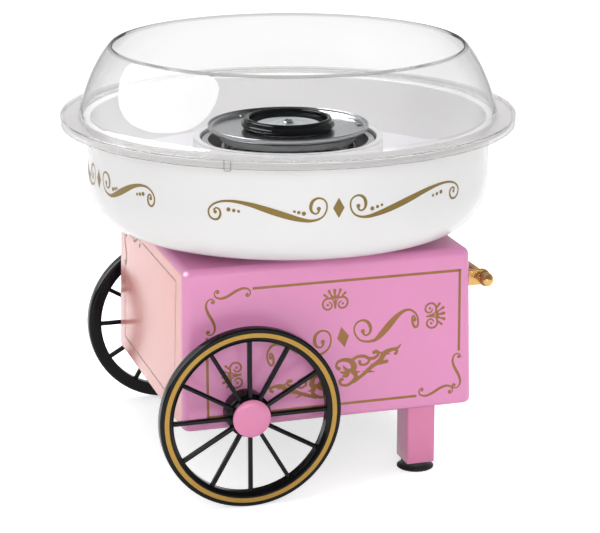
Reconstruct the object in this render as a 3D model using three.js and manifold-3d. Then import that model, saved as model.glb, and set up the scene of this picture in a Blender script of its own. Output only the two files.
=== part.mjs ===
// Tabletop cotton candy maker in the shape of a small market cart.
// A pink housing on two spoked wheels and two legs holds a motor, which turns a spinner head over
// a heater. A white bowl sits round the head and carries a clear rim guard.
//
// Millimetres, +Z up. The origin lies on the ground under the spindle. +X runs along the long side
// to the push handle, and -Y is the near long side.

import * as THREE from "three";
import { mergeVertices } from "three/addons/utils/BufferGeometryUtils.js";
import Module from "manifold-3d";

const wasm = await Module();
wasm.setup();

// Fits
const SEAT = 0.3; // between two pieces that touch
const RUN = 0.5; // beside what turns
const PAST = 1; // how far a cutter passes the face it cuts

// Facets of a full turn
const LARGE_TURN = 32;
const MIDDLE_TURN = 24;
const SMALL_TURN = 16;
const TINY_TURN = 8;

// Driving dimensions

const housing = {
  bottom: 45,
  top: 147,
  halfLength: 94.4, // at the bottom
  halfWidth: 91.2,
  draft: 1.24, // degrees, each wall leaning in towards the top
  wall: 2.6,
  cornerRadius: 6,
  topEdge: 5,
  bottomEdge: 3.5,
  ledgeReach: 3.4, // of the ledge that the bottom cover seats on
  ledgeThickness: 2.6,
};

const cover = {
  thickness: 2.2,
  recess: 0.8, // up from the housing's lower edge
  margin: 6, // from the housing's outside to its seat
  slots: 7,
  slotLength: 34,
  slotWidth: 3,
  slotEdge: 1.2,
  slotPitch: 8,
  slotX: 6,
};

const coverScrew = {
  x: 83.5,
  y: 52,
  holeRadius: 1.9,
  pocketRadius: 3.7,
  pocketDepth: 1.2,
  bossRadius: 4,
  bossHeight: 12,
};

const wheel = {
  radius: 57,
  outerFace: 109, // from the centre plane
  width: 8,
  shoulder: 2,
  rimInner: 48.3,
  rimLand: 50.6,
  rimSlope: 1.6,
  spokes: 12,
  spokeWidth: 2.6,
  spokeDepth: 3.4,
  spokeEdge: 0.6,
  spokeSetback: 2.6, // from the outer face
  hubRadius: 13.8,
  noseRadius: 11,
  hubSetback: 1.5,
  recessRadius: 8.6,
  recessDepth: 6,
};

const axle = {
  x: -56,
  radius: 3,
  pastNut: 1.5,
  bossRadius: 8.4,
  bossProud: 0.5,
  bossLength: 12,
};

const hubCap = {
  radius: 11.8,
  edge: 1.2,
  dome: 2.3,
  ceiling: 0.6,
  plugWall: 1.4,
  plugLength: 3.6,
};

const pushNut = { radius: 6.2, thickness: 1 };

const leg = {
  x: 62.5,
  y: 74.4,
  sizeX: 18.6,
  sizeY: 20.7,
  bottom: 5.6,
  wall: 2,
  cornerRadius: 1,
  ribThickness: 1.6,
  ribSetback: 6, // up from the leg's lower end
  bossRadius: 4.6,
  spigotX: 11,
  spigotY: 9.6,
  spigotHeight: 11,
  socketWall: 1.8,
};

const foot = {
  radius: 11.8,
  lipHeight: 1,
  lipInset: 0.6,
  neckRadius: 9,
  stemRadius: 2.6,
  stemLength: 10,
};

const handle = {
  barX: 106,
  barZ: 123,
  barRadius: 3.25,
  armY: 74,
  armThickness: 3,
  armHeight: 10.2,
  armRidge: 0.5, // along the middle of its outer face
  flangeThickness: 2.5, // behind the housing's wall
  flangeHeight: 18,
  flangeWidth: 9,
  knobY: 81,
  knobRadius: 4.6,
  spigotRadius: 2,
  spigotEnd: 80,
};

const tower = {
  seatThickness: 6.4, // raises the bowl over the housing
  seatRadius: 80,
  seatRim: 2.5,
  seatShell: 2.7,
  wallRadius: 55.6,
  wall: 2.2,
  top: 202.4,
  neckRadius: 38,
  neckWall: 3,
  neckLength: 8.3,
  floorThickness: 3,
};

const dish = {
  thickness: 1,
  floor: 188, // its underside
  wallRadius: 52.4,
  postRoom: 0.8, // between the feet of the heater's posts and the bend
  shaftHole: 9,
};

const heater = {
  radius: 41,
  z: 197.5,
  tubeRadius: 3.2,
  terminalAngle: -35, // degrees, where its two ends go down
  gapAngle: 26,
  bendAngle: 8,
  tail: 16,
  sides: 6,
  steps: 34,
  turnPoints: 24, // of its path, besides the two ends
  knee: 4.8, // from the ring down to the straight of each end
  posts: 3,
  postRadius: 3,
  postFoot: 4.2,
  postFootHeight: 1.5,
};

const bowl = {
  rimTop: 220.9,
  rimThickness: 2.3,
  rimWidth: 14.1, // out from the wall
  rimClearance: 0.5, // inside the guard's skirt
  wallRadius: 128.4,
  wall: 2.4,
  curveTop: 184,
  curveWidth: 19.4,
  rimFillet: 2,
  lipTop: 206,
  lipInner: 56.6,
  lipOuter: 60.7,
  lipThickness: 2.6,
  lipEdge: 0.8,
  columnDraft: 1.8, // wider at the foot of the column
  footFillet: 5,
};

const guard = {
  thickness: 2,
  skirtReach: 1.5, // below the bowl's rim
  edge: 0.8,
  wallStep: 4.25, // out from the bowl's wall
  wallLean: 20.85, // in from the flange to the mouth
  wallHeight: 43.2,
  widthPower: 1.29, // how full the wall's curve is
  heightPower: 1.37,
  clips: 3,
  clipAngle: -120.8, // degrees
  clipWidth: 4,
  clipDrop: 1.2,
};

const head = {
  discRadius: 51.65,
  discTop: 210.6,
  discThickness: 1,
  discHole: 26,
  lipTop: 213.8,
  lipCurve: 3.15,
  tabs: 3, // folded over on the disc's upper face
  tabAngle: -6, // degrees
  tabCircle: 45,
  tabLength: 4, // round the disc
  tabWidth: 3,
  tabProud: 0.8,
  cupRadius: 30,
  cupHeel: 2.6, // in from its widest, at the foot
  cupWall: 5,
  cupTop: 218,
  cupCrown: 3.2,
  cupUndercut: -40, // degrees, where its round side begins
  cupEdge: 0.6,
  floorTop: 213.5,
  floorRadius: 20.5,
  panThickness: 1.2,
  panRadius: 45.5,
  panDepth: 5.6, // from the disc's top to the trough
  troughInner: 28.5,
  troughOuter: 43,
  slot: 0.8, // gap that the melted sugar leaves by
  spacers: 3,
  spacerRadius: 1.8,
  spacerCircle: 37,
};

const hub = {
  radius: 6.5,
  fillet: 1,
  bottom: 190.5,
  flangeRadius: 14,
  flangeThickness: 2,
};

const headScrew = {
  headRadius: 3.6,
  headHeight: 2.2,
  headSide: 1, // below its dome
  shankRadius: 1.9,
  shankLength: 7,
  slotWidth: 0.9,
  slotDepth: 0.9,
};

const motor = {
  radius: 30,
  wall: 1.6,
  height: 46,
  noseRadius: 8,
  noseHeight: 5.6,
  capHeight: 4.2,
  capFloor: 2.5,
  capSpigot: 3,
  spigotWall: 2.5,
  statorInner: 22,
  coreLength: 30,
  coreInset: 8, // up from the can's lower edge
  rotorGap: 0.9,
};

const shaft = { radius: 3, top: 202.5, flatDepth: 0.7 };

const bracket = {
  radius: 43,
  thickness: 2,
  rimWall: 2.5,
  holes: 6,
  holeRadius: 4.5,
  holeCircle: 25,
};

const rocker = {
  x: 62,
  z: 92,
  bezelX: 15,
  bezelZ: 21,
  bezelProud: 2,
  bezelEdge: 1,
  bodyX: 13,
  bodyZ: 19.2,
  bodyDepth: 18,
  mouthX: 10.8,
  mouthZ: 17.2,
  mouthDepth: 7,
  paddleX: 10,
  paddleHalfZ: 7.8,
  faceHeight: 3.4,
  sideDepth: 1,
  heelHalfZ: 4.5,
  heelDepth: 4,
  tilt: 9, // degrees each side of level
  stubRadius: 1.2,
  stubLength: 0.9,
};

const gland = {
  x: 28,
  z: 66,
  flangeRadius: 7.5,
  flangeThickness: 2.4,
  noseRadius: 5.6,
  noseEnd: 8.4,
  noseTaper: 1,
  boreRadius: 3.2,
  tailRadius: 5,
  tailLength: 7,
};

// Values that follow from these

const draftSlope = Math.tan(THREE.MathUtils.degToRad(housing.draft));
const halfLengthAt = (z) => housing.halfLength - (z - housing.bottom) * draftSlope;
const halfWidthAt = (z) => housing.halfWidth - (z - housing.bottom) * draftSlope;

const axleZ = wheel.radius;
const wheelInnerFace = wheel.outerFace - wheel.width;
const bossFace = halfWidthAt(axleZ) + axle.bossProud;
const axleBore = axle.radius + SEAT;
const hubInnerFace = bossFace + RUN;
const hubOuterFace = wheel.outerFace - wheel.hubSetback;
const recessFloor = hubOuterFace - wheel.recessDepth;
const spokeFront = wheel.outerFace - wheel.spokeSetback;
const nutOuterFace = recessFloor + SEAT + pushNut.thickness;
const axleEnd = nutOuterFace + axle.pastNut;

const coverBottom = housing.bottom + cover.recess;
const coverTop = coverBottom + cover.thickness;
const ledgeBottom = coverTop + SEAT;
const ledgeTop = ledgeBottom + housing.ledgeThickness;
const legTop = coverBottom - SEAT;

const handleWall = halfLengthAt(handle.barZ + handle.flangeHeight / 2) - housing.wall;
const barBore = handle.barRadius + SEAT;
const knobInnerFace = handle.knobY - handle.knobRadius;

const towerBottom = housing.top + SEAT;
const seatTop = towerBottom + tower.seatThickness;
const bowlBottom = seatTop + SEAT;
const rimBottom = bowl.rimTop - bowl.rimThickness;
const rimRadius = bowl.wallRadius + bowl.rimWidth;
const skirtInner = rimRadius + bowl.rimClearance;
const skirtOuter = skirtInner + guard.thickness;
const skirtBottom = rimBottom - guard.skirtReach;
const flangeBottom = bowl.rimTop + SEAT;
const flangeTop = flangeBottom + guard.thickness;
const guardRadius = bowl.wallRadius + guard.wallStep;
const mouthRadius = guardRadius - guard.wallLean;
const mouthTop = flangeTop + guard.wallHeight;

const bracketTop = towerBottom - tower.neckLength - SEAT;
const bracketBottom = bracketTop - bracket.thickness;
const canTop = bracketBottom - SEAT;
const canBottom = canTop - motor.height;
const capTop = canBottom - SEAT;
const capFloorTop = capTop - motor.capHeight + motor.capFloor;
const noseTop = canTop + motor.noseHeight;
const coreBottom = canBottom + motor.coreInset;
const coreTop = coreBottom + motor.coreLength;
const shaftBore = shaft.radius + SEAT;

const discBottom = head.discTop - head.discThickness;
const troughTop = head.discTop - head.panDepth;
const panRim = discBottom - head.slot;
const hubTop = head.floorTop - head.panThickness - SEAT;
const screwSeat = head.floorTop + SEAT;
const screwBore = headScrew.shankRadius + SEAT;
const dishFloorTop = dish.floor + dish.thickness;
const dishRimBottom = tower.top + SEAT;
const heaterBottom = heater.z - heater.tubeRadius;
const dishBend = dish.wallRadius - dish.postRoom - heater.postFoot - heater.radius;

// Shape helpers

/** Evenly spaced points [r, z] of an elliptical arc, angles in degrees from the +r side. */
function arc(r, z, radiusR, radiusZ, from, to, steps) {
  return Array.from({ length: steps + 1 }, (_, i) => {
    const angle = THREE.MathUtils.degToRad(from + ((to - from) * i) / steps);
    return [r + radiusR * Math.cos(angle), z + radiusZ * Math.sin(angle)];
  });
}

/** A closed surface turned round Z from [r, z] points, listed either way round. */
function revolve(profile, turn) {
  const points = profile.map(([r, z]) => new THREE.Vector2(r, z));
  const closes = points[0].x > 0;
  if (THREE.ShapeUtils.area(points) < 0) points.reverse();
  if (closes) points.push(points[0].clone());
  return new THREE.LatheGeometry(points, turn).rotateX(Math.PI / 2);
}

/** A plain round bar or disc between two heights. */
function round(radius, low, high, turn = SMALL_TURN) {
  return revolve([[0, low], [radius, low], [radius, high], [0, high]], turn);
}

/** A plain ring or tube between two heights. */
function tube(inner, outer, low, high, turn = SMALL_TURN) {
  return revolve([[inner, low], [outer, low], [outer, high], [inner, high]], turn);
}

/** Points of a rectangle with round corners at height z, counter-clockwise from above. */
function roundedRing(halfX, halfY, radius, z, steps) {
  const corners = [[1, 1, 0], [-1, 1, 90], [-1, -1, 180], [1, -1, 270]];
  return corners.flatMap(([signX, signY, start]) =>
    arc(signX * (halfX - radius), signY * (halfY - radius), radius, radius, start, start + 90, steps)
      .map(([x, y]) => new THREE.Vector3(x, y, z)));
}

/** A closed surface through rings of equally many points, lowest ring first. */
function loft(rings) {
  const count = rings[0].length;
  const last = (rings.length - 1) * count;
  const index = [];
  for (let i = 0; i < last; i++) {
    const next = i % count === count - 1 ? i + 1 - count : i + 1;
    index.push(i, next, next + count, i, next + count, i + count);
  }
  for (let i = 1; i + 1 < count; i++) {
    index.push(0, i + 1, i, last, last + i, last + i + 1);
  }
  const shape = new THREE.BufferGeometry().setFromPoints(rings.flat());
  shape.setIndex(index);
  return shape;
}

/** An upright block centred on the Z axis. */
function block(sizeX, sizeY, low, high) {
  return new THREE.BoxGeometry(sizeX, sizeY, high - low).translate(0, 0, (low + high) / 2);
}

/** An upright block whose vertical edges are rounded. */
function roundedBlock(sizeX, sizeY, low, high, radius, steps = 2) {
  return loft([low, high].map((z) => roundedRing(sizeX / 2, sizeY / 2, radius, z, steps)));
}

/** A flat outline thickened upwards from z = 0. */
function plate(outline, thickness, curveSegments = 8) {
  return new THREE.ExtrudeGeometry(outline, { depth: thickness, bevelEnabled: false, curveSegments });
}

/** The closed surface as a solid that can be joined and cut. */
function solid(geometry) {
  const bare = geometry.clone();
  bare.deleteAttribute("normal");
  bare.deleteAttribute("uv");
  const merged = mergeVertices(bare, 1e-4);
  const corners = merged.index.array;
  const faces = [];
  for (let i = 0; i < corners.length; i += 3) {
    const [a, b, c] = corners.slice(i, i + 3);
    if (a !== b && b !== c && c !== a) faces.push(a, b, c);
  }
  return new wasm.Manifold(new wasm.Mesh({
    numProp: 3,
    vertProperties: merged.attributes.position.array,
    triVerts: new Uint32Array(faces),
  }));
}

/** Joins the added shapes to the first, then cuts the others out of it. */
function carve(first, { add = [], cut = [] }) {
  let body = solid(first);
  for (const shape of add) body = body.add(solid(shape));
  for (const shape of cut) body = body.subtract(solid(shape));
  const { vertProperties, triVerts } = body.getMesh();
  const carved = new THREE.BufferGeometry();
  carved.setAttribute("position", new THREE.BufferAttribute(vertProperties, 3));
  carved.setIndex(new THREE.BufferAttribute(triVerts, 1));
  return carved;
}

/** Copies of a shape, turned evenly round Z. */
function aroundZ(geometry, count, startDegrees = 0) {
  return Array.from({ length: count }, (_, i) =>
    geometry.clone().rotateZ(THREE.MathUtils.degToRad(startDegrees + (360 * i) / count)));
}

/** Turns a shape built along +Z to face out of a long side: -1 the near one, 1 the far one. */
function towardSide(geometry, side) {
  return geometry.rotateX((-side * Math.PI) / 2);
}

/** A named mesh with a finish of its own. */
function piece(name, geometry, [color, roughness, metalness]) {
  const shape = geometry.index ? geometry.toNonIndexed() : geometry;
  shape.computeVertexNormals();
  const mesh = new THREE.Mesh(shape, new THREE.MeshStandardMaterial({ color, roughness, metalness }));
  mesh.name = name;
  return mesh;
}

function group(...children) {
  return new THREE.Group().add(...children);
}

const SIDES = [["near", -1], ["far", 1]];

// Finishes: colour, roughness, metalness
const finish = {
  pinkPlastic: [0xdf96c3, 0.2, 0],
  whitePlastic: [0xf4f4f2, 0.22, 0],
  blackPlastic: [0x15161a, 0.2, 0],
  clearPlastic: [0xeef2f4, 0.05, 0],
  rubber: [0x1a1a1c, 0.75, 0],
  antiqueGold: [0xb08d45, 0.3, 1],
  steel: [0xb9bdc0, 0.35, 1],
  darkSteel: [0x55585c, 0.3, 1],
  aluminium: [0xc4c7ca, 0.28, 1],
  ceramic: [0xe9e4d8, 0.6, 0],
};

// Housing

/** The housing's drafted box between two heights, drawn in by an inset, its edges rounded. */
function housingForm({ inset, low, high, topEdge = 0, bottomEdge = 0, steps = 1 }) {
  const ring = (z, edge) => {
    const corner = Math.max(housing.cornerRadius - inset - edge, 1);
    return roundedRing(halfLengthAt(z) - inset - edge, halfWidthAt(z) - inset - edge, corner, z, steps);
  };
  const lower = bottomEdge === 0
    ? [ring(low, 0)]
    : arc(0, low + bottomEdge, bottomEdge, bottomEdge, 270, 360, 2).map(([r, z]) => ring(z, bottomEdge - r));
  const upper = topEdge === 0
    ? [ring(high, 0)]
    : arc(0, high - topEdge, topEdge, topEdge, 0, 90, steps).map(([r, z]) => ring(z, topEdge - r));
  return loft([...lower, ...upper]);
}

/** Where the four screws of the bottom cover are, [x, y]. */
const coverScrewPlaces = [[-1, -1], [1, -1], [1, 1], [-1, 1]]
  .map(([signX, signY]) => [signX * coverScrew.x, signY * coverScrew.y]);

function housingShell() {
  const outside = housingForm({
    inset: 0,
    low: housing.bottom,
    high: housing.top,
    topEdge: housing.topEdge,
    bottomEdge: housing.bottomEdge,
    steps: 3,
  });
  const room = housingForm({
    inset: housing.wall,
    low: ledgeTop,
    high: housing.top - housing.wall,
    topEdge: housing.topEdge - housing.wall,
  });
  const ledgeOpening = housingForm({
    inset: cover.margin + housing.ledgeReach,
    low: housing.bottom,
    high: ledgeTop + PAST,
  });
  const coverSeat = housingForm({
    inset: cover.margin,
    low: housing.bottom - PAST,
    high: ledgeBottom,
  });
  const shell = carve(outside, { cut: [room, ledgeOpening, coverSeat] });

  const axleBosses = SIDES.map(([, side]) =>
    towardSide(round(axle.bossRadius, bossFace - axle.bossLength, bossFace), side)
      .translate(axle.x, 0, axleZ));
  const screwBosses = coverScrewPlaces.map(([x, y]) =>
    round(coverScrew.bossRadius, ledgeBottom, ledgeBottom + coverScrew.bossHeight, TINY_TURN)
      .translate(x, y, 0));

  const reach = housing.wall * 4;
  const axleHole = towardSide(round(axleBore, -bossFace - PAST, bossFace + PAST, TINY_TURN), 1)
    .translate(axle.x, 0, axleZ);
  const screwHoles = coverScrewPlaces.map(([x, y]) =>
    round(coverScrew.holeRadius, ledgeBottom - PAST,
      ledgeBottom + coverScrew.bossHeight - PAST, TINY_TURN).translate(x, y, 0));
  const neckHole = round(tower.neckRadius + SEAT, housing.top - housing.wall - PAST,
    housing.top + PAST, MIDDLE_TURN);
  const armHalf = handle.armHeight / 2 + SEAT;
  const armSlots = SIDES.map(([, side]) =>
    block(2 * reach, handle.armThickness + 2 * SEAT, -armHalf, armHalf)
      .translate(halfLengthAt(handle.barZ), side * handle.armY, handle.barZ));
  const switchHalf = rocker.bodyZ / 2 + SEAT;
  const switchHole = block(rocker.bodyX + 2 * SEAT, 2 * reach, -switchHalf, switchHalf)
    .translate(rocker.x, halfWidthAt(rocker.z), rocker.z);
  const glandHole = towardSide(round(gland.tailRadius + SEAT, -reach, reach), 1)
    .translate(gland.x, halfWidthAt(gland.z), gland.z);
  return carve(shell, {
    add: [...axleBosses, ...screwBosses],
    cut: [axleHole, ...screwHoles, neckHole, ...armSlots, switchHole, glandHole],
  });
}

function bottomCover() {
  const sheet = housingForm({ inset: cover.margin + SEAT, low: coverBottom, high: coverTop });
  const socketX = leg.spigotX + 2 * SEAT;
  const socketY = leg.spigotY + 2 * SEAT;
  const atLegs = (shape) => SIDES.map(([, side]) => shape.clone().translate(leg.x, side * leg.y, 0));
  const sockets = atLegs(block(socketX + 2 * leg.socketWall, socketY + 2 * leg.socketWall,
    coverBottom, legTop + leg.spigotHeight + leg.socketWall));
  const socketHoles = atLegs(block(socketX, socketY, coverBottom - PAST,
    legTop + leg.spigotHeight + SEAT));
  const firstSlot = cover.slotX - ((cover.slots - 1) * cover.slotPitch) / 2;
  const vents = Array.from({ length: cover.slots }, (_, i) =>
    roundedBlock(cover.slotWidth, cover.slotLength, coverBottom - PAST, coverTop + PAST, cover.slotEdge, 1)
      .translate(firstSlot + i * cover.slotPitch, 0, 0));
  const screwHoles = coverScrewPlaces.flatMap(([x, y]) => [
    round(coverScrew.holeRadius, coverBottom - PAST, coverTop + PAST, TINY_TURN),
    round(coverScrew.pocketRadius, coverBottom - PAST, coverBottom + coverScrew.pocketDepth, TINY_TURN),
  ].map((shape) => shape.translate(x, y, 0)));
  return carve(sheet, { add: sockets, cut: [...socketHoles, ...vents, ...screwHoles] });
}

// Wheels, each built along its own axis: local z is the distance from the centre plane

function wheelForm() {
  const crown = wheel.shoulder;
  const rim = revolve([
    [wheel.rimInner, wheelInnerFace],
    [wheel.radius - crown, wheelInnerFace],
    [wheel.radius, wheelInnerFace + crown],
    ...arc(wheel.radius - crown, wheel.outerFace - crown, crown, crown, 0, 90, 2),
    [wheel.rimLand, wheel.outerFace],
    [wheel.rimInner, wheel.outerFace - wheel.rimSlope],
  ], LARGE_TURN);
  const hubForm = revolve([
    [axleBore, hubInnerFace],
    [wheel.hubRadius, hubInnerFace],
    [wheel.hubRadius, spokeFront - wheel.spokeDepth],
    [wheel.noseRadius, spokeFront - wheel.spokeDepth / 2],
    [wheel.noseRadius, hubOuterFace],
    [wheel.recessRadius, hubOuterFace],
    [wheel.recessRadius, recessFloor],
    [axleBore, recessFloor],
  ], SMALL_TURN);
  const half = wheel.spokeWidth / 2;
  const flat = half - wheel.spokeEdge;
  const section = [
    [half, -wheel.spokeDepth],
    [half, -wheel.spokeEdge],
    [flat, 0],
    [-flat, 0],
    [-half, -wheel.spokeEdge],
    [-half, -wheel.spokeDepth],
  ];
  const spoke = plate(new THREE.Shape(section.map(([x, y]) => new THREE.Vector2(x, y))),
    wheel.rimInner + PAST - wheel.recessRadius - PAST)
    .rotateX(Math.PI / 2)
    .translate(0, wheel.rimInner + PAST, spokeFront);
  return carve(rim, { add: [hubForm, ...aroundZ(spoke, wheel.spokes)] });
}

function hubCapForm() {
  const seat = hubOuterFace + SEAT;
  const plugRadius = wheel.recessRadius - SEAT;
  const domeBase = seat + hubCap.edge;
  return revolve([
    [0, seat + hubCap.ceiling],
    [plugRadius - hubCap.plugWall, seat + hubCap.ceiling],
    [plugRadius - hubCap.plugWall, seat - hubCap.plugLength],
    [plugRadius, seat - hubCap.plugLength],
    [plugRadius, seat],
    [hubCap.radius, seat],
    ...arc(0, domeBase, hubCap.radius, hubCap.dome, 0, 90, 4).slice(0, -1),
    [0, domeBase + hubCap.dome],
  ], SMALL_TURN);
}

function wheelGroup([name, side]) {
  const parts = group(
    piece(`${name}_wheel`, wheelForm(), finish.blackPlastic),
    piece(`${name}_hub_cap`, hubCapForm(), finish.pinkPlastic),
    piece(`${name}_push_nut`,
      tube(axleBore, pushNut.radius, recessFloor + SEAT, nutOuterFace), finish.steel),
  );
  parts.position.set(axle.x, 0, axleZ);
  parts.rotation.x = (-side * Math.PI) / 2;
  return parts;
}

function axleForm() {
  return towardSide(round(axle.radius, -axleEnd, axleEnd), 1).translate(axle.x, 0, axleZ);
}

// Legs

function legForm() {
  const post = roundedBlock(leg.sizeX, leg.sizeY, leg.bottom, legTop, leg.cornerRadius);
  const roomX = leg.sizeX - 2 * leg.wall;
  const roomY = leg.sizeY - 2 * leg.wall;
  const room = block(roomX, roomY, leg.bottom - PAST, legTop - leg.wall);
  const hollow = carve(post, { cut: [room] });
  const ribBottom = leg.bottom + leg.ribSetback;
  const ribs = [
    block(roomX + leg.wall, leg.ribThickness, ribBottom, legTop - PAST),
    block(leg.ribThickness, roomY + leg.wall, ribBottom, legTop - PAST),
  ];
  const boss = round(leg.bossRadius, leg.bottom, legTop - PAST, TINY_TURN);
  const spigot = block(leg.spigotX, leg.spigotY, legTop - PAST, legTop + leg.spigotHeight);
  const stemHole = round(foot.stemRadius + SEAT, leg.bottom - PAST,
    leg.bottom + foot.stemLength + PAST, TINY_TURN);
  return carve(hollow, { add: [...ribs, boss, spigot], cut: [stemHole] });
}

function footForm() {
  const top = leg.bottom - SEAT;
  return revolve([
    [0, 0],
    [foot.radius - foot.lipInset, 0],
    [foot.radius, foot.lipHeight],
    [(foot.radius + foot.neckRadius) / 2 - foot.lipInset, (foot.lipHeight + top) / 2],
    [foot.neckRadius, top],
    [foot.stemRadius, top],
    [foot.stemRadius, top + foot.stemLength],
    [0, top + foot.stemLength],
  ], SMALL_TURN);
}

function legGroup([name, side]) {
  const parts = group(
    piece(`${name}_leg`, legForm(), finish.pinkPlastic),
    piece(`${name}_foot`, footForm(), finish.rubber),
  );
  parts.position.set(leg.x, side * leg.y, 0);
  return parts;
}

// Push handle

function armForm(side) {
  const root = handleWall - SEAT - handle.flangeThickness;
  const half = handle.armHeight / 2;
  const outline = new THREE.Shape();
  outline.moveTo(root, -half);
  outline.lineTo(handle.barX, -half);
  outline.absarc(handle.barX, 0, half, -Math.PI / 2, Math.PI / 2, false);
  outline.lineTo(root, half);
  outline.closePath();
  const blade = plate(outline, handle.armThickness)
    .rotateX(Math.PI / 2)
    .translate(0, handle.armThickness / 2, 0);
  const flange = block(handle.flangeThickness, handle.flangeWidth, -handle.flangeHeight / 2,
    handle.flangeHeight / 2).translate(root + handle.flangeThickness / 2, 0, 0);
  const eye = towardSide(round(barBore, -handle.armThickness, handle.armThickness), 1)
    .translate(handle.barX, 0, 0);
  return carve(blade, { add: [flange, ...armRidge(side)], cut: [eye] })
    .translate(0, side * handle.armY, handle.barZ);
}

/** The low roof along an arm's outer face, and the cone that ends it round the bar. */
function armRidge(side) {
  const half = handle.armHeight / 2;
  const face = handle.armThickness / 2;
  const top = face + handle.armRidge;
  const start = halfLengthAt(handle.barZ) + RUN;
  const section = [[-half, 0], [half, 0], [half, face], [0, top], [-half, face]];
  const roof = plate(new THREE.Shape(section.map(([y, z]) => new THREE.Vector2(y, z))),
    handle.barX - start)
    .rotateX(Math.PI / 2).rotateZ(Math.PI / 2)
    .translate(start, 0, 0);
  const cone = revolve([[0, 0], [half, 0], [half, face], [0, top]], SMALL_TURN)
    .translate(handle.barX, 0, 0);
  return [roof, cone].map((shape) => towardSide(shape, side));
}

function barForm() {
  const shoulder = knobInnerFace + SEAT;
  const half = [
    [handle.spigotRadius, -handle.spigotEnd],
    [handle.spigotRadius, -shoulder],
    [handle.barRadius, -shoulder],
    [handle.barRadius, shoulder],
    [handle.spigotRadius, shoulder],
    [handle.spigotRadius, handle.spigotEnd],
  ];
  return towardSide(revolve([[0, -handle.spigotEnd], ...half, [0, handle.spigotEnd]], SMALL_TURN), 1)
    .translate(handle.barX, 0, handle.barZ);
}

function knobForm(side) {
  const bore = handle.spigotRadius + SEAT;
  const ball = revolve(arc(0, handle.knobY, handle.knobRadius, handle.knobRadius, -90, 90, 6)
    .map(([r, z]) => [Math.max(r, 0), z]), SMALL_TURN);
  const relief = handle.barRadius + SEAT;
  const bored = carve(ball, {
    cut: [
      round(bore, knobInnerFace - PAST, handle.spigotEnd + SEAT, TINY_TURN),
      round(relief, knobInnerFace - PAST, knobInnerFace + 2 * SEAT),
    ],
  });
  return towardSide(bored, side).translate(handle.barX, 0, handle.barZ);
}

// Tower, dish and heater under the spinner head

function towerForm() {
  const neckInner = tower.neckRadius - tower.neckWall;
  const neckBottom = towerBottom - tower.neckLength;
  const wallInner = tower.wallRadius - tower.wall;
  const floorTop = towerBottom + tower.floorThickness;
  const shellTop = seatTop - tower.seatShell;
  return revolve([
    [neckInner, neckBottom],
    [tower.neckRadius, neckBottom],
    [tower.neckRadius, towerBottom],
    [tower.wallRadius, towerBottom],
    [tower.wallRadius, shellTop],
    [tower.seatRadius - tower.seatRim, shellTop],
    [tower.seatRadius - tower.seatRim, towerBottom],
    [tower.seatRadius, towerBottom],
    [tower.seatRadius, seatTop],
    [tower.wallRadius, seatTop],
    [tower.wallRadius, tower.top],
    [wallInner, tower.top],
    [wallInner, floorTop],
    [neckInner, floorTop],
  ], MIDDLE_TURN);
}

/** Angles in degrees of the heater's two ends. */
const heaterEnds = [1, -1].map((way) => heater.terminalAngle + (way * heater.gapAngle) / 2);

function dishForm() {
  const inner = dish.wallRadius - dish.thickness;
  const bend = dish.wallRadius - dishBend;
  const bendZ = dish.floor + dishBend;
  const innerBend = dishBend - dish.thickness;
  const flangeOuter = tower.wallRadius - SEAT;
  const bowlShape = revolve([
    [dish.shaftHole, dish.floor],
    ...arc(bend, bendZ, dishBend, dishBend, 270, 360, 2),
    [dish.wallRadius, dishRimBottom],
    [flangeOuter, dishRimBottom],
    [flangeOuter, dishRimBottom + dish.thickness],
    [inner, dishRimBottom + dish.thickness],
    ...arc(bend, bendZ, innerBend, innerBend, 360, 270, 2),
    [dish.shaftHole, dishFloorTop],
  ], MIDDLE_TURN);
  const hole = round(heater.tubeRadius + 2 * SEAT, dish.floor - PAST, dishFloorTop + PAST, TINY_TURN)
    .translate(heater.radius, 0, 0);
  const holes = heaterEnds.map((angle) => hole.clone().rotateZ(THREE.MathUtils.degToRad(angle)));
  return carve(bowlShape, { cut: holes });
}

function heaterRing() {
  const [start, end] = heaterEnds;
  const at = (degrees, z) => {
    const angle = THREE.MathUtils.degToRad(degrees);
    return new THREE.Vector3(heater.radius * Math.cos(angle), heater.radius * Math.sin(angle), z);
  };
  const first = start + heater.bendAngle;
  const sweep = 360 + end - heater.bendAngle - first;
  const turns = Array.from({ length: heater.turnPoints + 1 }, (_, i) =>
    at(first + (sweep * i) / heater.turnPoints, heater.z));
  const low = heater.z - heater.tail;
  const knee = heater.z - heater.knee;
  const path = new THREE.CatmullRomCurve3(
    [at(start, low), at(start, (low + knee) / 2), at(start, knee), ...turns,
      at(end, knee), at(end, (low + knee) / 2), at(end, low)],
    false, "centripetal");
  const section = new THREE.Shape(Array.from({ length: heater.sides }, (_, i) => {
    const angle = (2 * Math.PI * i) / heater.sides;
    return new THREE.Vector2(heater.tubeRadius * Math.cos(angle), heater.tubeRadius * Math.sin(angle));
  }));
  return new THREE.ExtrudeGeometry(section, { steps: heater.steps, extrudePath: path });
}

function heaterPost(index) {
  const low = dishFloorTop + SEAT;
  const angle = heater.terminalAngle + 180 / heater.posts + (360 * index) / heater.posts;
  return revolve([
    [0, low],
    [heater.postFoot, low],
    [heater.postFoot, low + heater.postFootHeight],
    [heater.postRadius, low + heater.postFootHeight],
    [heater.postRadius, heaterBottom - SEAT],
    [0, heaterBottom - SEAT],
  ], TINY_TURN)
    .translate(heater.radius, 0, 0)
    .rotateZ(THREE.MathUtils.degToRad(angle));
}

// Motor

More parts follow.
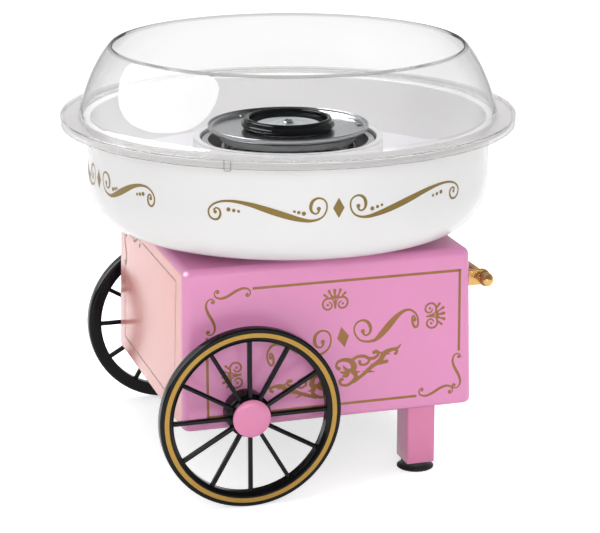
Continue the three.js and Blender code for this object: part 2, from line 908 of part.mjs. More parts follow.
function bracketForm() {
  const cup = revolve([
    [motor.noseRadius + SEAT, bracketBottom],
    [bracket.radius, bracketBottom],
    [bracket.radius, housing.top - housing.wall - SEAT],
    [bracket.radius - bracket.rimWall, housing.top - housing.wall - SEAT],
    [bracket.radius - bracket.rimWall, bracketTop],
    [motor.noseRadius + SEAT, bracketTop],
  ], MIDDLE_TURN);
  const hole = round(bracket.holeRadius, bracketBottom - PAST, bracketTop + PAST, TINY_TURN)
    .translate(bracket.holeCircle, 0, 0);
  return carve(cup, { cut: aroundZ(hole, bracket.holes) });
}

function canForm() {
  const inner = motor.radius - motor.wall;
  return revolve([
    [motor.radius, canBottom],
    [motor.radius, canTop],
    [motor.noseRadius, canTop],
    [motor.noseRadius, noseTop],
    [shaftBore, noseTop],
    [shaftBore, canTop - motor.wall],
    [inner, canTop - motor.wall],
    [inner, canBottom],
  ], SMALL_TURN);
}

function endCapForm() {
  const spigot = motor.radius - motor.wall - SEAT;
  const spigotTop = capTop + motor.capSpigot;
  return revolve([
    [0, capTop - motor.capHeight],
    [motor.radius, capTop - motor.capHeight],
    [motor.radius, capTop],
    [spigot, capTop],
    [spigot, spigotTop],
    [spigot - motor.spigotWall, spigotTop],
    [spigot - motor.spigotWall, capFloorTop],
    [motor.noseRadius, capFloorTop],
    [motor.noseRadius, capFloorTop + motor.noseHeight],
    [shaftBore, capFloorTop + motor.noseHeight],
    [shaftBore, capFloorTop],
    [0, capFloorTop],
  ], SMALL_TURN);
}

/** A round bar whose upper end has a flat on its +X side. */
function flattedBar(radius, low, high, flat, flatBottom) {
  const bar = round(radius, low, high);
  const beyond = block(2 * radius, 4 * radius, flatBottom, high + PAST)
    .translate(flat + radius, 0, 0);
  return carve(bar, { cut: [beyond] });
}

function shaftForm() {
  return flattedBar(shaft.radius, capFloorTop + SEAT, shaft.top,
    shaft.radius - shaft.flatDepth, hub.bottom - PAST);
}

const motorParts = () => group(
  piece("motor_bracket", bracketForm(), finish.steel),
  piece("motor_can", canForm(), finish.steel),
  piece("motor_end_cap", endCapForm(), finish.steel),
  piece("motor_stator",
    tube(motor.statorInner, motor.radius - motor.wall - SEAT, coreBottom, coreTop), finish.darkSteel),
  piece("motor_rotor",
    tube(shaftBore, motor.statorInner - motor.rotorGap, coreBottom, coreTop), finish.darkSteel),
  piece("motor_shaft", shaftForm(), finish.steel),
);

// Spinner head

function hubForm() {
  const body = revolve([
    [0, hub.bottom],
    [hub.radius, hub.bottom],
    [hub.radius, hubTop - hub.flangeThickness - hub.fillet],
    [hub.radius + hub.fillet, hubTop - hub.flangeThickness],
    [hub.flangeRadius, hubTop - hub.flangeThickness],
    [hub.flangeRadius, hubTop],
    [0, hubTop],
  ], SMALL_TURN);
  const socket = flattedBar(shaftBore, hub.bottom - PAST, shaft.top + SEAT,
    shaftBore - shaft.flatDepth, hub.bottom - 2 * PAST);
  const screwHole = round(screwBore, shaft.top - PAST, hubTop + PAST, TINY_TURN);
  return carve(body, { cut: [socket, screwHole] });
}

function panForm() {
  const down = head.panThickness;
  const sheet = revolve([
    [screwBore, head.floorTop - down],
    [head.floorRadius - down / 2, head.floorTop - down],
    [head.troughInner - down, troughTop - down],
    [head.troughOuter + down / 2, troughTop - down],
    [head.panRadius, panRim],
    [head.panRadius - down, panRim],
    [head.troughOuter, troughTop],
    [head.troughInner, troughTop],
    [head.floorRadius, head.floorTop],
    [screwBore, head.floorTop],
  ], MIDDLE_TURN);
  const spacer = round(head.spacerRadius, troughTop - down / 2, discBottom - SEAT, TINY_TURN)
    .translate(head.spacerCircle, 0, 0);
  return carve(sheet, { add: aroundZ(spacer, head.spacers) });
}

function discForm() {
  const bendR = head.discRadius - head.lipCurve;
  const bendZ = discBottom + head.lipCurve;
  const inner = head.lipCurve - head.discThickness;
  const sheet = revolve([
    [head.discHole, discBottom],
    ...arc(bendR, bendZ, head.lipCurve, head.lipCurve, 270, 360, 3),
    [head.discRadius - head.discThickness / 2, head.lipTop],
    ...arc(bendR, bendZ, inner, inner, 360, 270, 3),
    [head.discHole, head.discTop],
  ], MIDDLE_TURN);
  const tab = block(head.tabWidth, head.tabLength, head.discTop - head.discThickness / 2,
    head.discTop + head.tabProud).translate(head.tabCircle, 0, 0);
  return carve(sheet, { add: aroundZ(tab, head.tabs, head.tabAngle) });
}

function cupRingForm() {
  const low = head.discTop + SEAT;
  const tall = head.cupTop - low;
  const mouth = head.cupRadius - head.cupWall;
  return revolve([
    [mouth - head.cupEdge, low],
    [head.cupRadius - head.cupHeel, low],
    ...arc(head.cupRadius - head.cupCrown, low + tall / 2, head.cupCrown, tall / 2,
      head.cupUndercut, 90, 3),
    [mouth + head.cupEdge, head.cupTop],
    [mouth, head.cupTop - head.cupEdge],
  ], MIDDLE_TURN);
}

function headScrewForm() {
  const tip = screwSeat - headScrew.shankLength;
  const top = screwSeat + headScrew.headHeight;
  const sideTop = screwSeat + headScrew.headSide;
  const screw = revolve([
    [0, tip],
    [headScrew.shankRadius, tip],
    [headScrew.shankRadius, screwSeat],
    [headScrew.headRadius, screwSeat],
    ...arc(0, sideTop, headScrew.headRadius, top - sideTop, 0, 90, 3).slice(0, -1),
    [0, top],
  ], TINY_TURN);
  const slot = block(2 * headScrew.headRadius - PAST, headScrew.slotWidth, top - headScrew.slotDepth, top + PAST);
  return carve(screw, { cut: [slot, slot.clone().rotateZ(Math.PI / 2)] });
}

const headParts = () => group(
  piece("drive_hub", hubForm(), finish.steel),
  piece("head_pan", panForm(), finish.aluminium),
  piece("head_disc", discForm(), finish.aluminium),
  piece("head_cup_ring", cupRingForm(), finish.blackPlastic),
  piece("head_screw", headScrewForm(), finish.steel),
);

// Bowl and rim guard

const bowlFloorTop = bowlBottom + bowl.wall;
const columnFoot = bowl.lipOuter + bowl.columnDraft;
const columnEdge = columnFoot + bowl.footFillet;

/** The bowl's floor, wall and rim. */
function bowlForm() {
  const centre = bowl.wallRadius - bowl.curveWidth;
  const height = bowl.curveTop - bowlBottom;
  return revolve([
    [columnEdge, bowlBottom],
    ...arc(centre, bowl.curveTop, bowl.curveWidth, height, 270, 360, 5),
    [bowl.wallRadius, rimBottom - bowl.rimFillet],
    [bowl.wallRadius + bowl.rimFillet, rimBottom],
    [rimRadius, rimBottom],
    [rimRadius, bowl.rimTop],
    [bowl.wallRadius - bowl.wall, bowl.rimTop],
    ...arc(centre, bowl.curveTop, bowl.curveWidth - bowl.wall, height - bowl.wall, 360, 270, 5),
    [columnEdge, bowlFloorTop],
  ], LARGE_TURN);
}

/** The bowl's hollow middle, which stands round the tower, with the foot that joins it to the floor. */
function bowlColumnForm() {
  const columnInner = bowl.lipOuter - bowl.wall;
  return revolve([
    [columnFoot - bowl.wall, bowlBottom],
    [columnEdge - SEAT, bowlBottom],
    [columnEdge - SEAT, bowlFloorTop],
    ...arc(columnEdge, bowlFloorTop + bowl.footFillet, bowl.footFillet, bowl.footFillet, 270, 180, 2).slice(1),
    [bowl.lipOuter, bowl.lipTop - bowl.lipEdge],
    [bowl.lipOuter - bowl.lipEdge, bowl.lipTop],
    [bowl.lipInner, bowl.lipTop],
    [bowl.lipInner, bowl.lipTop - bowl.lipThickness],
    [columnInner, bowl.lipTop - bowl.lipThickness],
  ], LARGE_TURN);
}

/** A point of the guard's wall, t from 0 at the flange to 1 at the mouth, moved in by an offset. */
function guardWall(t, offset) {
  const at = (angle) => new THREE.Vector2(
    mouthRadius + guard.wallLean * Math.cos(angle) ** (2 / guard.widthPower),
    flangeTop + guard.wallHeight * Math.sin(angle) ** (2 / guard.heightPower),
  );
  const angle = (t * Math.PI) / 2;
  const step = 0.002;
  const along = at(Math.min(angle + step, Math.PI / 2)).sub(at(Math.max(angle - step, 0))).normalize();
  const point = at(angle);
  return [point.x - offset * along.y, point.y + offset * along.x];
}

function guardForm() {
  const stops = [0.15, 0.32, 0.5, 0.68, 0.86];
  const shell = revolve([
    [skirtInner, skirtBottom],
    [skirtOuter, skirtBottom],
    [skirtOuter, flangeTop - guard.edge],
    [skirtOuter - guard.edge, flangeTop],
    [guardRadius + guard.edge, flangeTop],
    ...stops.map((t) => guardWall(t, 0)),
    [mouthRadius, mouthTop],
    [mouthRadius, mouthTop - guard.thickness],
    ...stops.toReversed().map((t) => guardWall(t, guard.thickness)),
    [guardRadius - guard.thickness, flangeBottom],
    [skirtInner, flangeBottom],
  ], LARGE_TURN);
  const clip = block(guard.thickness, guard.clipWidth, skirtBottom - guard.clipDrop,
    flangeTop - guard.edge).translate(skirtOuter - guard.thickness / 2, 0, 0);
  return carve(shell, { add: aroundZ(clip, guard.clips, guard.clipAngle) });
}

// Switch and cord gland on the far side, each built facing out along its own z

function onFarSide(parts, x, z, backHalf) {
  parts.position.set(x, halfWidthAt(z - backHalf) + SEAT, z);
  parts.rotation.x = -Math.PI / 2;
  return parts;
}

function switchBodyForm() {
  const bezel = roundedBlock(rocker.bezelX, rocker.bezelZ, 0, rocker.bezelProud, rocker.bezelEdge);
  const body = block(rocker.bodyX, rocker.bodyZ, -rocker.bodyDepth, PAST);
  const mouth = block(rocker.mouthX, rocker.mouthZ, -rocker.mouthDepth, rocker.bezelProud + PAST);
  const stubHole = round(rocker.stubRadius + SEAT, -rocker.bodyX, rocker.bodyX, TINY_TURN)
    .rotateY(Math.PI / 2);
  return carve(bezel, { add: [body], cut: [mouth, stubHole] });
}

function paddleForm() {
  const rise = rocker.paddleHalfZ * Math.tan(THREE.MathUtils.degToRad(rocker.tilt));
  const side = [
    [-rocker.paddleHalfZ, rocker.faceHeight + rise],
    [-rocker.paddleHalfZ, -rocker.sideDepth],
    [-rocker.heelHalfZ, -rocker.heelDepth],
    [rocker.heelHalfZ, -rocker.heelDepth],
    [rocker.paddleHalfZ, -rocker.sideDepth],
    [rocker.paddleHalfZ, rocker.faceHeight + rise],
    [0, rocker.faceHeight],
  ];
  const outline = new THREE.Shape(side.map(([y, z]) => new THREE.Vector2(y, z)));
  const paddle = plate(outline, rocker.paddleX)
    .rotateX(Math.PI / 2).rotateZ(Math.PI / 2)
    .translate(-rocker.paddleX / 2, 0, 0);
  const stubEnd = rocker.paddleX / 2 + rocker.stubLength;
  const stubs = round(rocker.stubRadius, -stubEnd, stubEnd, TINY_TURN).rotateY(Math.PI / 2);
  return carve(paddle, { add: [stubs] }).rotateX(THREE.MathUtils.degToRad(-rocker.tilt));
}

function glandForm() {
  return revolve([
    [gland.boreRadius, -gland.tailLength],
    [gland.tailRadius, -gland.tailLength],
    [gland.tailRadius, 0],
    [gland.flangeRadius, 0],
    [gland.flangeRadius, gland.flangeThickness],
    [gland.noseRadius, gland.flangeThickness],
    [gland.noseRadius - gland.noseTaper, gland.noseEnd],
    [gland.boreRadius, gland.noseEnd],
  ], SMALL_TURN);
}

// The whole machine

const shell = group(
  piece("housing_shell", housingShell(), finish.pinkPlastic),
  piece("bottom_cover", bottomCover(), finish.blackPlastic),
  onFarSide(group(
    piece("switch_body", switchBodyForm(), finish.blackPlastic),
    piece("switch_rocker", paddleForm(), finish.blackPlastic),
  ), rocker.x, rocker.z, rocker.bezelZ / 2),
  onFarSide(group(piece("cord_gland", glandForm(), finish.blackPlastic)),
    gland.x, gland.z, gland.flangeRadius),
);

const pushHandle = group(
  ...SIDES.flatMap(([name, side]) => [
    piece(`${name}_handle_arm`, armForm(side), finish.antiqueGold),
    piece(`${name}_handle_knob`, knobForm(side), finish.antiqueGold),
  ]),
  piece("handle_bar", barForm(), finish.antiqueGold),
);

const heatParts = group(
  piece("tower", towerForm(), finish.whitePlastic),
  piece("heat_dish", dishForm(), finish.darkSteel),
  piece("heater_ring", heaterRing(), finish.darkSteel),
  ...Array.from({ length: heater.posts }, (_, i) =>
    piece(`heater_post_${i + 1}`, heaterPost(i), finish.ceramic)),
);

export default group(
  shell,
  piece("axle", axleForm(), finish.steel),
  ...SIDES.map(wheelGroup),
  ...SIDES.map(legGroup),
  pushHandle,
  heatParts,
  motorParts(),
  headParts(),
  piece("bowl", bowlForm(), finish.whitePlastic),
  piece("bowl_column", bowlColumnForm(), finish.whitePlastic),
  piece("rim_guard", guardForm(), finish.clearPlastic),
);
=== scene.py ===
"""Builds what the eye sees of a tabletop cotton candy cart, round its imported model.

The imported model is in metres. Shapes are worked out here in millimetres, in the same frame: +Z up,
-Y the near long side, +X the push handle. They become metres when a mesh is made.
"""

import math

import bmesh
import bpy
from mathutils import Matrix, Vector


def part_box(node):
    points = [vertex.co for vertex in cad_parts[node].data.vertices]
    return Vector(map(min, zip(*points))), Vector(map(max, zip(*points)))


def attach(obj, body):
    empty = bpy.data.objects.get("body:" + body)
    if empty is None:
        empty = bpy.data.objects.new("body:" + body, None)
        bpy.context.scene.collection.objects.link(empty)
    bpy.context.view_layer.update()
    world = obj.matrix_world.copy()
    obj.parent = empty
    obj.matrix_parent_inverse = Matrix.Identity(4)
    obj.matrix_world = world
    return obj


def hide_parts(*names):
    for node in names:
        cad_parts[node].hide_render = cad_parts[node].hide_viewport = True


bl_info = {
    "name": "Cotton Candy Cart",
    "version": (1, 0, 0),
    "blender": (4, 5, 0),
    "location": "3D View > Sidebar > Candy Cart",
    "description": "Builds the visible pieces of a cotton candy maker round its packed model",
    "category": "Object",
}

MM = 0.001
SIDES = (("near", -1), ("far", 1))

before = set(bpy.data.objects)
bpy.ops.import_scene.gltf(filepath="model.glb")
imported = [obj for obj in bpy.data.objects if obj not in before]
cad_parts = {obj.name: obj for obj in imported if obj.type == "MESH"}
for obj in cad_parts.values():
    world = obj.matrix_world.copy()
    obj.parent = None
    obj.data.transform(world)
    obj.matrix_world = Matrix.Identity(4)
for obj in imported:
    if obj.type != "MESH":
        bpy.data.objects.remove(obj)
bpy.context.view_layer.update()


def cad(node):
    """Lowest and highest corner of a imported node, in millimetres."""
    low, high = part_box(node)
    return low / MM, high / MM


def centre(node):
    """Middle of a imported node's box, in millimetres."""
    low, high = cad(node)
    return (low + high) / 2


def colour(code):
    """An sRGB hex colour as the linear RGBA that shaders work with."""
    parts = [int(code[i:i + 2], 16) / 255 for i in (1, 3, 5)]
    return (*(p / 12.92 if p <= 0.04045 else ((p + 0.055) / 1.055) ** 2.4 for p in parts), 1.0)


# Settings


def length(name, description, size):
    """A size property, given in millimetres."""
    return bpy.props.FloatProperty(name=name, description=description, default=size * MM, min=0,
                                   unit="LENGTH", subtype="DISTANCE")


def paint(name, description, code):
    """A colour property, given as sRGB hex."""
    return bpy.props.FloatVectorProperty(name=name, description=description, default=colour(code),
                                         size=4, min=0, max=1, subtype="COLOR")


class CartSizes(bpy.types.PropertyGroup):
    """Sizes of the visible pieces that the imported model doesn't fix."""

    housing_corner: length("Housing corner", "Radius of the housing's upright edges", 6)
    housing_top_edge: length("Housing top edge", "Radius round the top of the housing", 5)
    housing_low_edge: length("Housing lower edge", "Radius round the foot of the housing", 3.5)
    band_inner: length("Wheel band inner radius", "Where the gold band begins", 51.4)
    band_outer: length("Wheel band outer radius", "Where the gold band ends", 54.3)
    print_line: length("Print line", "Width of the straight lines of the print", 1.65)
    print_proud: length("Print height", "How far the print stands off its surface", 0.06)
    guard_wall: length("Guard wall", "Thickness of the clear rim guard", 2)


class CartColours(bpy.types.PropertyGroup):
    """Colours of the finishes."""

    pink: paint("Pink", "Housing", "#E08FBD")
    deep_pink: paint("Deep pink", "Legs and hub caps", "#DD82AC")
    end_ground: paint("End ground", "Ground of the print on the front end", "#E69A94")
    panel_print: paint("Panel print", "Gold ink on the housing", "#8F6334")
    bowl_print: paint("Bowl print", "Gold ink on the bowl", "#7A6428")
    white: paint("White", "Outside of the bowl, and tower", "#E3E2E2")
    # Inside of the bowl: the outside's white painted lighter, as painted light against the shade
    # under the guard
    painted_light_white: paint("Bright white", "Inside of the bowl", "#F6F5F7")
    black: paint("Black", "Wheels, switch and sugar cup ring", "#0D0E10")
    band: paint("Band", "Gold band of the wheels", "#B08A41")
    gold: paint("Gold", "Push handle", "#D6AC6C")
    rubber: paint("Rubber", "Feet", "#18181A")
    aluminium: paint("Aluminium", "Spinner disc", "#C4C6C8")
    steel: paint("Steel", "Shaft, axle and screws", "#A9ADB0")
    dark_steel: paint("Dark steel", "Heat dish", "#BDBEC0")


# Materials


def add_node(tree, kind, inputs=None, **settings):
    """Adds a node, sets its properties, and fills or links each input."""
    node = tree.nodes.new(kind)
    for name, value in settings.items():
        setattr(node, name, value)
    for name, value in (inputs or {}).items():
        socket = node.inputs[name]
        if isinstance(value, bpy.types.NodeSocket):
            tree.links.new(value, socket)
        else:
            socket.default_value = value
    return node


def start_material(name):
    """A new material, its node tree, and object coordinates in metres."""
    material = bpy.data.materials.new(name)
    material.use_nodes = True
    tree = material.node_tree
    tree.nodes.clear()
    return material, tree, add_node(tree, "ShaderNodeTexCoord").outputs["Object"]


def end_material(material, inputs):
    """Closes a material with a Principled shader that has these inputs."""
    tree = material.node_tree
    surface = add_node(tree, "ShaderNodeBsdfPrincipled", inputs)
    add_node(tree, "ShaderNodeOutputMaterial", {"Surface": surface.outputs["BSDF"]})
    return material


def per_size(millimetres):
    """Texture scale that gives a pattern this size, since coordinates are in metres."""
    return 1000 / millimetres


def per_wave(millimetres):
    """Scale of a wave texture with bands this far apart: at scale 1 they lie tau / 20 m apart."""
    return per_size(millimetres) * math.tau / 20


def noise(tree, place, size, detail=2.0, roughness=0.5):
    """Soft noise in patches of this size, in millimetres."""
    return add_node(tree, "ShaderNodeTexNoise", {
        "Vector": place, "Scale": per_size(size), "Detail": detail,
        "Roughness": roughness}).outputs["Fac"]


def blend(tree, factor, first, second):
    """A colour between two, as far towards the second as the factor says."""
    return add_node(tree, "ShaderNodeMix", {"Factor": factor, "A": first, "B": second},
                    data_type="RGBA").outputs["Result"]


def span(tree, value, low, high, start=0.0, end=1.0, **settings):
    """Runs from low to high while the value runs from start to end."""
    return add_node(tree, "ShaderNodeMapRange", {
        "Value": value, "From Min": start, "From Max": end, "To Min": low, "To Max": high},
        **settings).outputs["Result"]


def relief(tree, height, strength, depth):
    """Surface normals that follow a texture this deep, in millimetres."""
    return add_node(tree, "ShaderNodeBump", {
        "Height": height, "Strength": strength, "Distance": depth * MM}).outputs["Normal"]


def calculate(tree, operation, first, second):
    """The result of an operation on two values."""
    return add_node(tree, "ShaderNodeMath", {0: first, 1: second},
                    operation=operation).outputs["Value"]


def toned(base, factor, lift=0.0):
    """A colour made darker or lighter by a factor and a lift."""
    return (*(min(c * factor + lift, 1) for c in base[:3]), 1.0)


def moulded(name, base, roughness, ior=1.54, specular=0.5):
    """Injection moulded plastic: an even colour with a breath of cloudiness from the melt, gloss
    that varies a little with handling, and the faint ripple that a polished mould leaves."""
    material, tree, place = start_material(name)
    cloud = noise(tree, place, 45, detail=3)
    smudge = noise(tree, place, 25)
    ripple = noise(tree, place, 2.2, detail=1)
    return end_material(material, {
        "Base Color": blend(tree, cloud, toned(base, 0.93), base),
        "Roughness": span(tree, smudge, roughness * 0.85, roughness * 1.15),
        "Normal": relief(tree, ripple, 0.06, 0.02), "IOR": ior, "Specular IOR Level": specular})


def screen_ink(name, base):
    """Gold screen printing ink: flakes 0.5 mm wide give a slight sparkle, and the squeegee's passes
    leave it a little uneven in depth."""
    material, tree, place = start_material(name)
    flakes = add_node(tree, "ShaderNodeTexVoronoi", {"Vector": place, "Scale": per_size(0.5)})
    passes = noise(tree, place, 9, detail=4)
    both = calculate(tree, "MULTIPLY", flakes.outputs["Distance"], passes)
    return end_material(material, {
        "Base Color": blend(tree, both, base, toned(base, 1.25)),
        "Metallic": 0.25, "Roughness": 0.4, "IOR": 1.5})


def plated(name, base, roughness, grain=0.6, metallic=1.0):
    """Plated or drawn metal: a fine grain of polishing scratches blurs its reflections unevenly,
    and the plate is a shade darker where it has been handled."""
    material, tree, place = start_material(name)
    handled = noise(tree, place, 12, detail=5, roughness=0.6)
    scratches = noise(tree, place, grain)
    return end_material(material, {
        "Base Color": blend(tree, handled, toned(base, 0.85), base), "Metallic": metallic,
        "Roughness": span(tree, scratches, roughness * 0.75, roughness * 1.3)})


def spun(name, base, roughness, pitch, wander=0.6, depth=0.01, metallic=1.0):
    """Sheet metal spun on a lathe: rings one tool feed apart round the spindle, drawn 1 mm or more
    apart so that they show, catch the light as thin circles. Where the rings wander and are deep,
    the sheet looks hammered."""
    material, tree, place = start_material(name)
    rings = add_node(tree, "ShaderNodeTexWave", {
        "Vector": place, "Scale": per_wave(pitch), "Distortion": wander, "Detail": 2.0},
        wave_type="RINGS", rings_direction="Z").outputs["Fac"]
    heat = noise(tree, place, 30, detail=3)
    return end_material(material, {
        "Base Color": blend(tree, heat, toned(base, 0.8), base), "Metallic": metallic,
        "Roughness": span(tree, rings, roughness * 0.8, roughness * 1.25),
        "Normal": relief(tree, rings, 0.15, depth)})


def clear_moulded(name, across, along, roughness=0.0, skin=0.5, waviness=0.0):
    """Clear polystyrene, moulded thin: nearly colourless where the eye looks across the wall and
    grey where it looks along it, with a glossy skin and the faint waviness of a thin moulding. The
    body's IOR is far under the real 1.59, which belongs to the skin: a wall this even bends no
    light that shows. Lamps reach through it."""
    material, tree, place = start_material(name)
    facing = add_node(tree, "ShaderNodeLayerWeight", {"Blend": 0.5}).outputs["Facing"]
    grazing = span(tree, facing, 0.0, 1.0, start=0.5, interpolation_type="SMOOTHSTEP")
    waves = relief(tree, noise(tree, place, 60, detail=1), waviness, 0.2)
    shadow = add_node(tree, "ShaderNodeLightPath").outputs["Is Shadow Ray"]
    return end_material(material, {
        "Base Color": blend(tree, grazing, colour(across), colour(along)),
        "Transmission Weight": 1.0, "IOR": 1.03, "Roughness": roughness,
        "Coat Weight": skin, "Coat IOR": 1.59, "Coat Roughness": 0.03,
        "Normal": waves, "Coat Normal": waves, "Alpha": span(tree, shadow, 1.0, 0.05)})


def rubber_moulded(name, base):
    """Moulded rubber: matt, with a 0.4 mm grain and grey bloom in patches."""
    material, tree, place = start_material(name)
    bloom = noise(tree, place, 6, detail=4)
    grain = noise(tree, place, 0.4)
    return end_material(material, {
        "Base Color": blend(tree, bloom, base, toned(base, 1.9, lift=0.004)),
        "Roughness": span(tree, bloom, 0.45, 0.62), "IOR": 1.52,
        "Normal": relief(tree, grain, 0.3, 0.05)})


def fired_ceramic(name):
    """Steatite, pressed and fired: off-white and matt, with a speckle of iron 0.7 mm apart."""
    material, tree, place = start_material(name)
    speckle = add_node(tree, "ShaderNodeTexVoronoi", {"Vector": place, "Scale": per_size(0.7)})
    spots = span(tree, speckle.outputs["Distance"], 0.0, 1.0, start=0.08, end=0.16)
    return end_material(material, {
        "Base Color": blend(tree, spots, colour("#A3937C"), colour("#E6E0D2")),
        "IOR": 1.6, "Roughness": 0.55})


def laminated_steel(name):
    """A stack of stamped steel sheets 0.5 mm thick, seen edge on: thin bright and dark bands, one
    on the other, with bluing from the anneal."""
    material, tree, place = start_material(name)
    sheets = add_node(tree, "ShaderNodeTexWave", {"Vector": place, "Scale": per_wave(1)},
                      wave_type="BANDS", bands_direction="Z").outputs["Fac"]
    return end_material(material, {
        "Base Color": blend(tree, sheets, colour("#3C4046"), colour("#7C828A")),
        "Metallic": 1.0, "Roughness": 0.4})


def finish(name):
    """The named finish of the cart, made the first time that it is asked for."""
    made = bpy.data.materials.get(name)
    if made:
        return made
    paints = bpy.context.scene.cart_colours
    recipes = {
        # Glossy, softly bright along every rounded edge
        "pink_abs_moulded": lambda: moulded(name, paints.pink, 0.24),
        # The same plastic from another batch, a little redder
        "deep_pink_abs_moulded": lambda: moulded(name, paints.deep_pink, 0.22),
        # The pale ground that the end's print is laid on
        "peach_ground_printed": lambda: moulded(name, paints.end_ground, 0.2),
        # White with a broad soft sheen
        "white_abs_moulded": lambda: moulded(name, paints.white, 0.22),
        # The inside, the same white plastic painted lighter than the outside: painted light against
        # the shade that the guard casts in the bowl
        "bright_abs_painted_light": lambda: moulded(name, paints.painted_light_white, 0.2),
        # The lip round the well, the same white plastic painted a little grey: painted shade on its
        # fully lit top
        "grey_abs_painted_shade": lambda: moulded(name, colour("#CBCBCC"), 0.3),
        # Near black, with crisp bright reflections
        "black_abs_moulded": lambda: moulded(name, paints.black, 0.15, specular=0.16),
        # Black as glass, with hard highlights
        "black_phenolic_moulded": lambda: moulded(name, paints.black, 0.06, ior=1.6, specular=0.16),
        # Duller black of the parts under the cart
        "black_polypropylene_moulded": lambda: moulded(name, paints.black, 0.42, ior=1.49,
                                                       specular=0.3),
        "clear_styrene_moulded": lambda: clear_moulded(name, "#F9F9F9", "#BCBCBD", waviness=0.05),
        # The flange and skirt, left satin by the tool, look greyer than the wall
        "satin_styrene_moulded": lambda: clear_moulded(name, "#EAE9E9", "#BDBCBC", 0.12),
        # The rounded edge of the mouth, where the eye looks down the wall
        "styrene_edge_moulded": lambda: clear_moulded(name, "#D2D2D2", "#A6A6A6", 0.1, skin=0.1),
        # Brown gold on pink, and olive gold on white
        "panel_ink_printed": lambda: screen_ink(name, paints.panel_print),
        "bowl_ink_printed": lambda: screen_ink(name, paints.bowl_print),
        "brown_ink_printed": lambda: screen_ink(name, colour("#5F4423")),
        "white_ink_printed": lambda: screen_ink(name, colour("#D8D8D6")),
        # Flat yellow gold foil pressed on the wheels
        "gold_foil_pressed": lambda: plated(name, paints.band, 0.4, grain=0.8, metallic=0.7),
        # Warm gold with soft broad highlights, as matt in parts as a lacquer is
        "gold_lacquer_sprayed": lambda: plated(name, paints.gold, 0.24, metallic=0.8),
        "steel_drawn": lambda: plated(name, paints.steel, 0.3),
        # A small mirror
        "chrome_plated": lambda: plated(name, colour("#D5D9DC"), 0.08),
        # The floor of the cup, rubbed by sugar: even and dull
        "aluminium_rubbed": lambda: spun(name, colour("#C9CED0"), 0.4, 7, wander=6, depth=2.5,
                                         metallic=0.5),
        # Mid grey with fine circles
        "aluminium_spun": lambda: spun(name, paints.aluminium, 0.2, 1.2),
        # Softer and dulled by oxide, and bent enough to break reflections into streaks
        "aluminium_pressed": lambda: spun(name, colour("#DADCDE"), 0.3, 7, wander=6, depth=2.5,
                                          metallic=0.5),
        # As dull, and a little darker
        "dark_steel_spun": lambda: spun(name, paints.dark_steel, 0.28, 9, wander=3, depth=1.5,
                                        metallic=0.4),
        "nickel_tube_oxidised": lambda: plated(name, colour("#A39C93"), 0.16),
        "rubber_moulded": lambda: rubber_moulded(name, paints.rubber),
        "steatite_fired": lambda: fired_ceramic(name),
        "core_steel_laminated": lambda: laminated_steel(name),
    }
    return recipes[name]()


# Shapes


def rounded(corners, closed=True, steps=6):
    """An outline of corners (x, y) or (x, y, radius), each with a radius rounded by an arc."""
    count = len(corners)
    outline = []
    for i, corner in enumerate(corners):
        here = Vector(corner[:2])
        if len(corner) < 3 or (not closed and i in (0, count - 1)):
            outline.append(here)
            continue
        back = Vector(corners[i - 1][:2]) - here
        ahead = Vector(corners[(i + 1) % count][:2]) - here
        turn = math.pi - back.angle(ahead)
        half = math.tan(turn / 2)
        reach = min(corner[2] * half, back.length * 0.49, ahead.length * 0.49)
        start = here + back.normalized() * reach
        centre = here + (back.normalized() + ahead.normalized()).normalized() * math.hypot(
            reach, reach / half)
        way = 1 if ahead.cross(back) > 0 else -1
        outline += [centre + Matrix.Rotation(way * turn * k / steps, 2) @ (start - centre)
                    for k in range(steps + 1)]
    return outline


def arc(x, y, radius_x, radius_y, first, last, steps):
    """Points of an elliptical arc between two angles in degrees."""
    angles = [math.radians(first + (last - first) * i / steps) for i in range(steps + 1)]
    return [Vector((x + radius_x * math.cos(a), y + radius_y * math.sin(a))) for a in angles]


def smooth_line(knots, step=0.5):
    """A smooth line through knots (x, y, further numbers), in points about one step apart."""
    knots = [Vector(k) for k in knots]
    gaps = [max((b.xy - a.xy).length, 0.01) for a, b in zip(knots, knots[1:])]
    last = len(knots) - 1
    slopes = []
    for i in range(last + 1):
        low, high = max(i - 1, 0), min(i + 1, last)
        slopes.append((knots[high] - knots[low]) / sum(gaps[low:high]))
    line = []
    for i, gap in enumerate(gaps):
        count = max(2, round(gap / step))
        for k in range(count):
            t = k / count
            ahead = 3 * t**2 - 2 * t**3
            line.append((1 - ahead) * knots[i] + ahead * knots[i + 1]
                        + gap * ((t**3 - 2 * t**2 + t) * slopes[i] + (t**3 - t**2) * slopes[i + 1]))
    return [*line, knots[-1]]


def rectangle(half_x, half_y, radius, z, steps=8):
    """A ring of points at height z: a rectangle with round corners, anticlockwise from above."""
    ring = []
    for sign_x, sign_y, start in ((1, 1, 0), (-1, 1, 90), (-1, -1, 180), (1, -1, 270)):
        ring += arc(sign_x * (half_x - radius), sign_y * (half_y - radius), radius, radius,
                    start, start + 90, steps)
    return [Vector((p.x, p.y, z)) for p in ring]


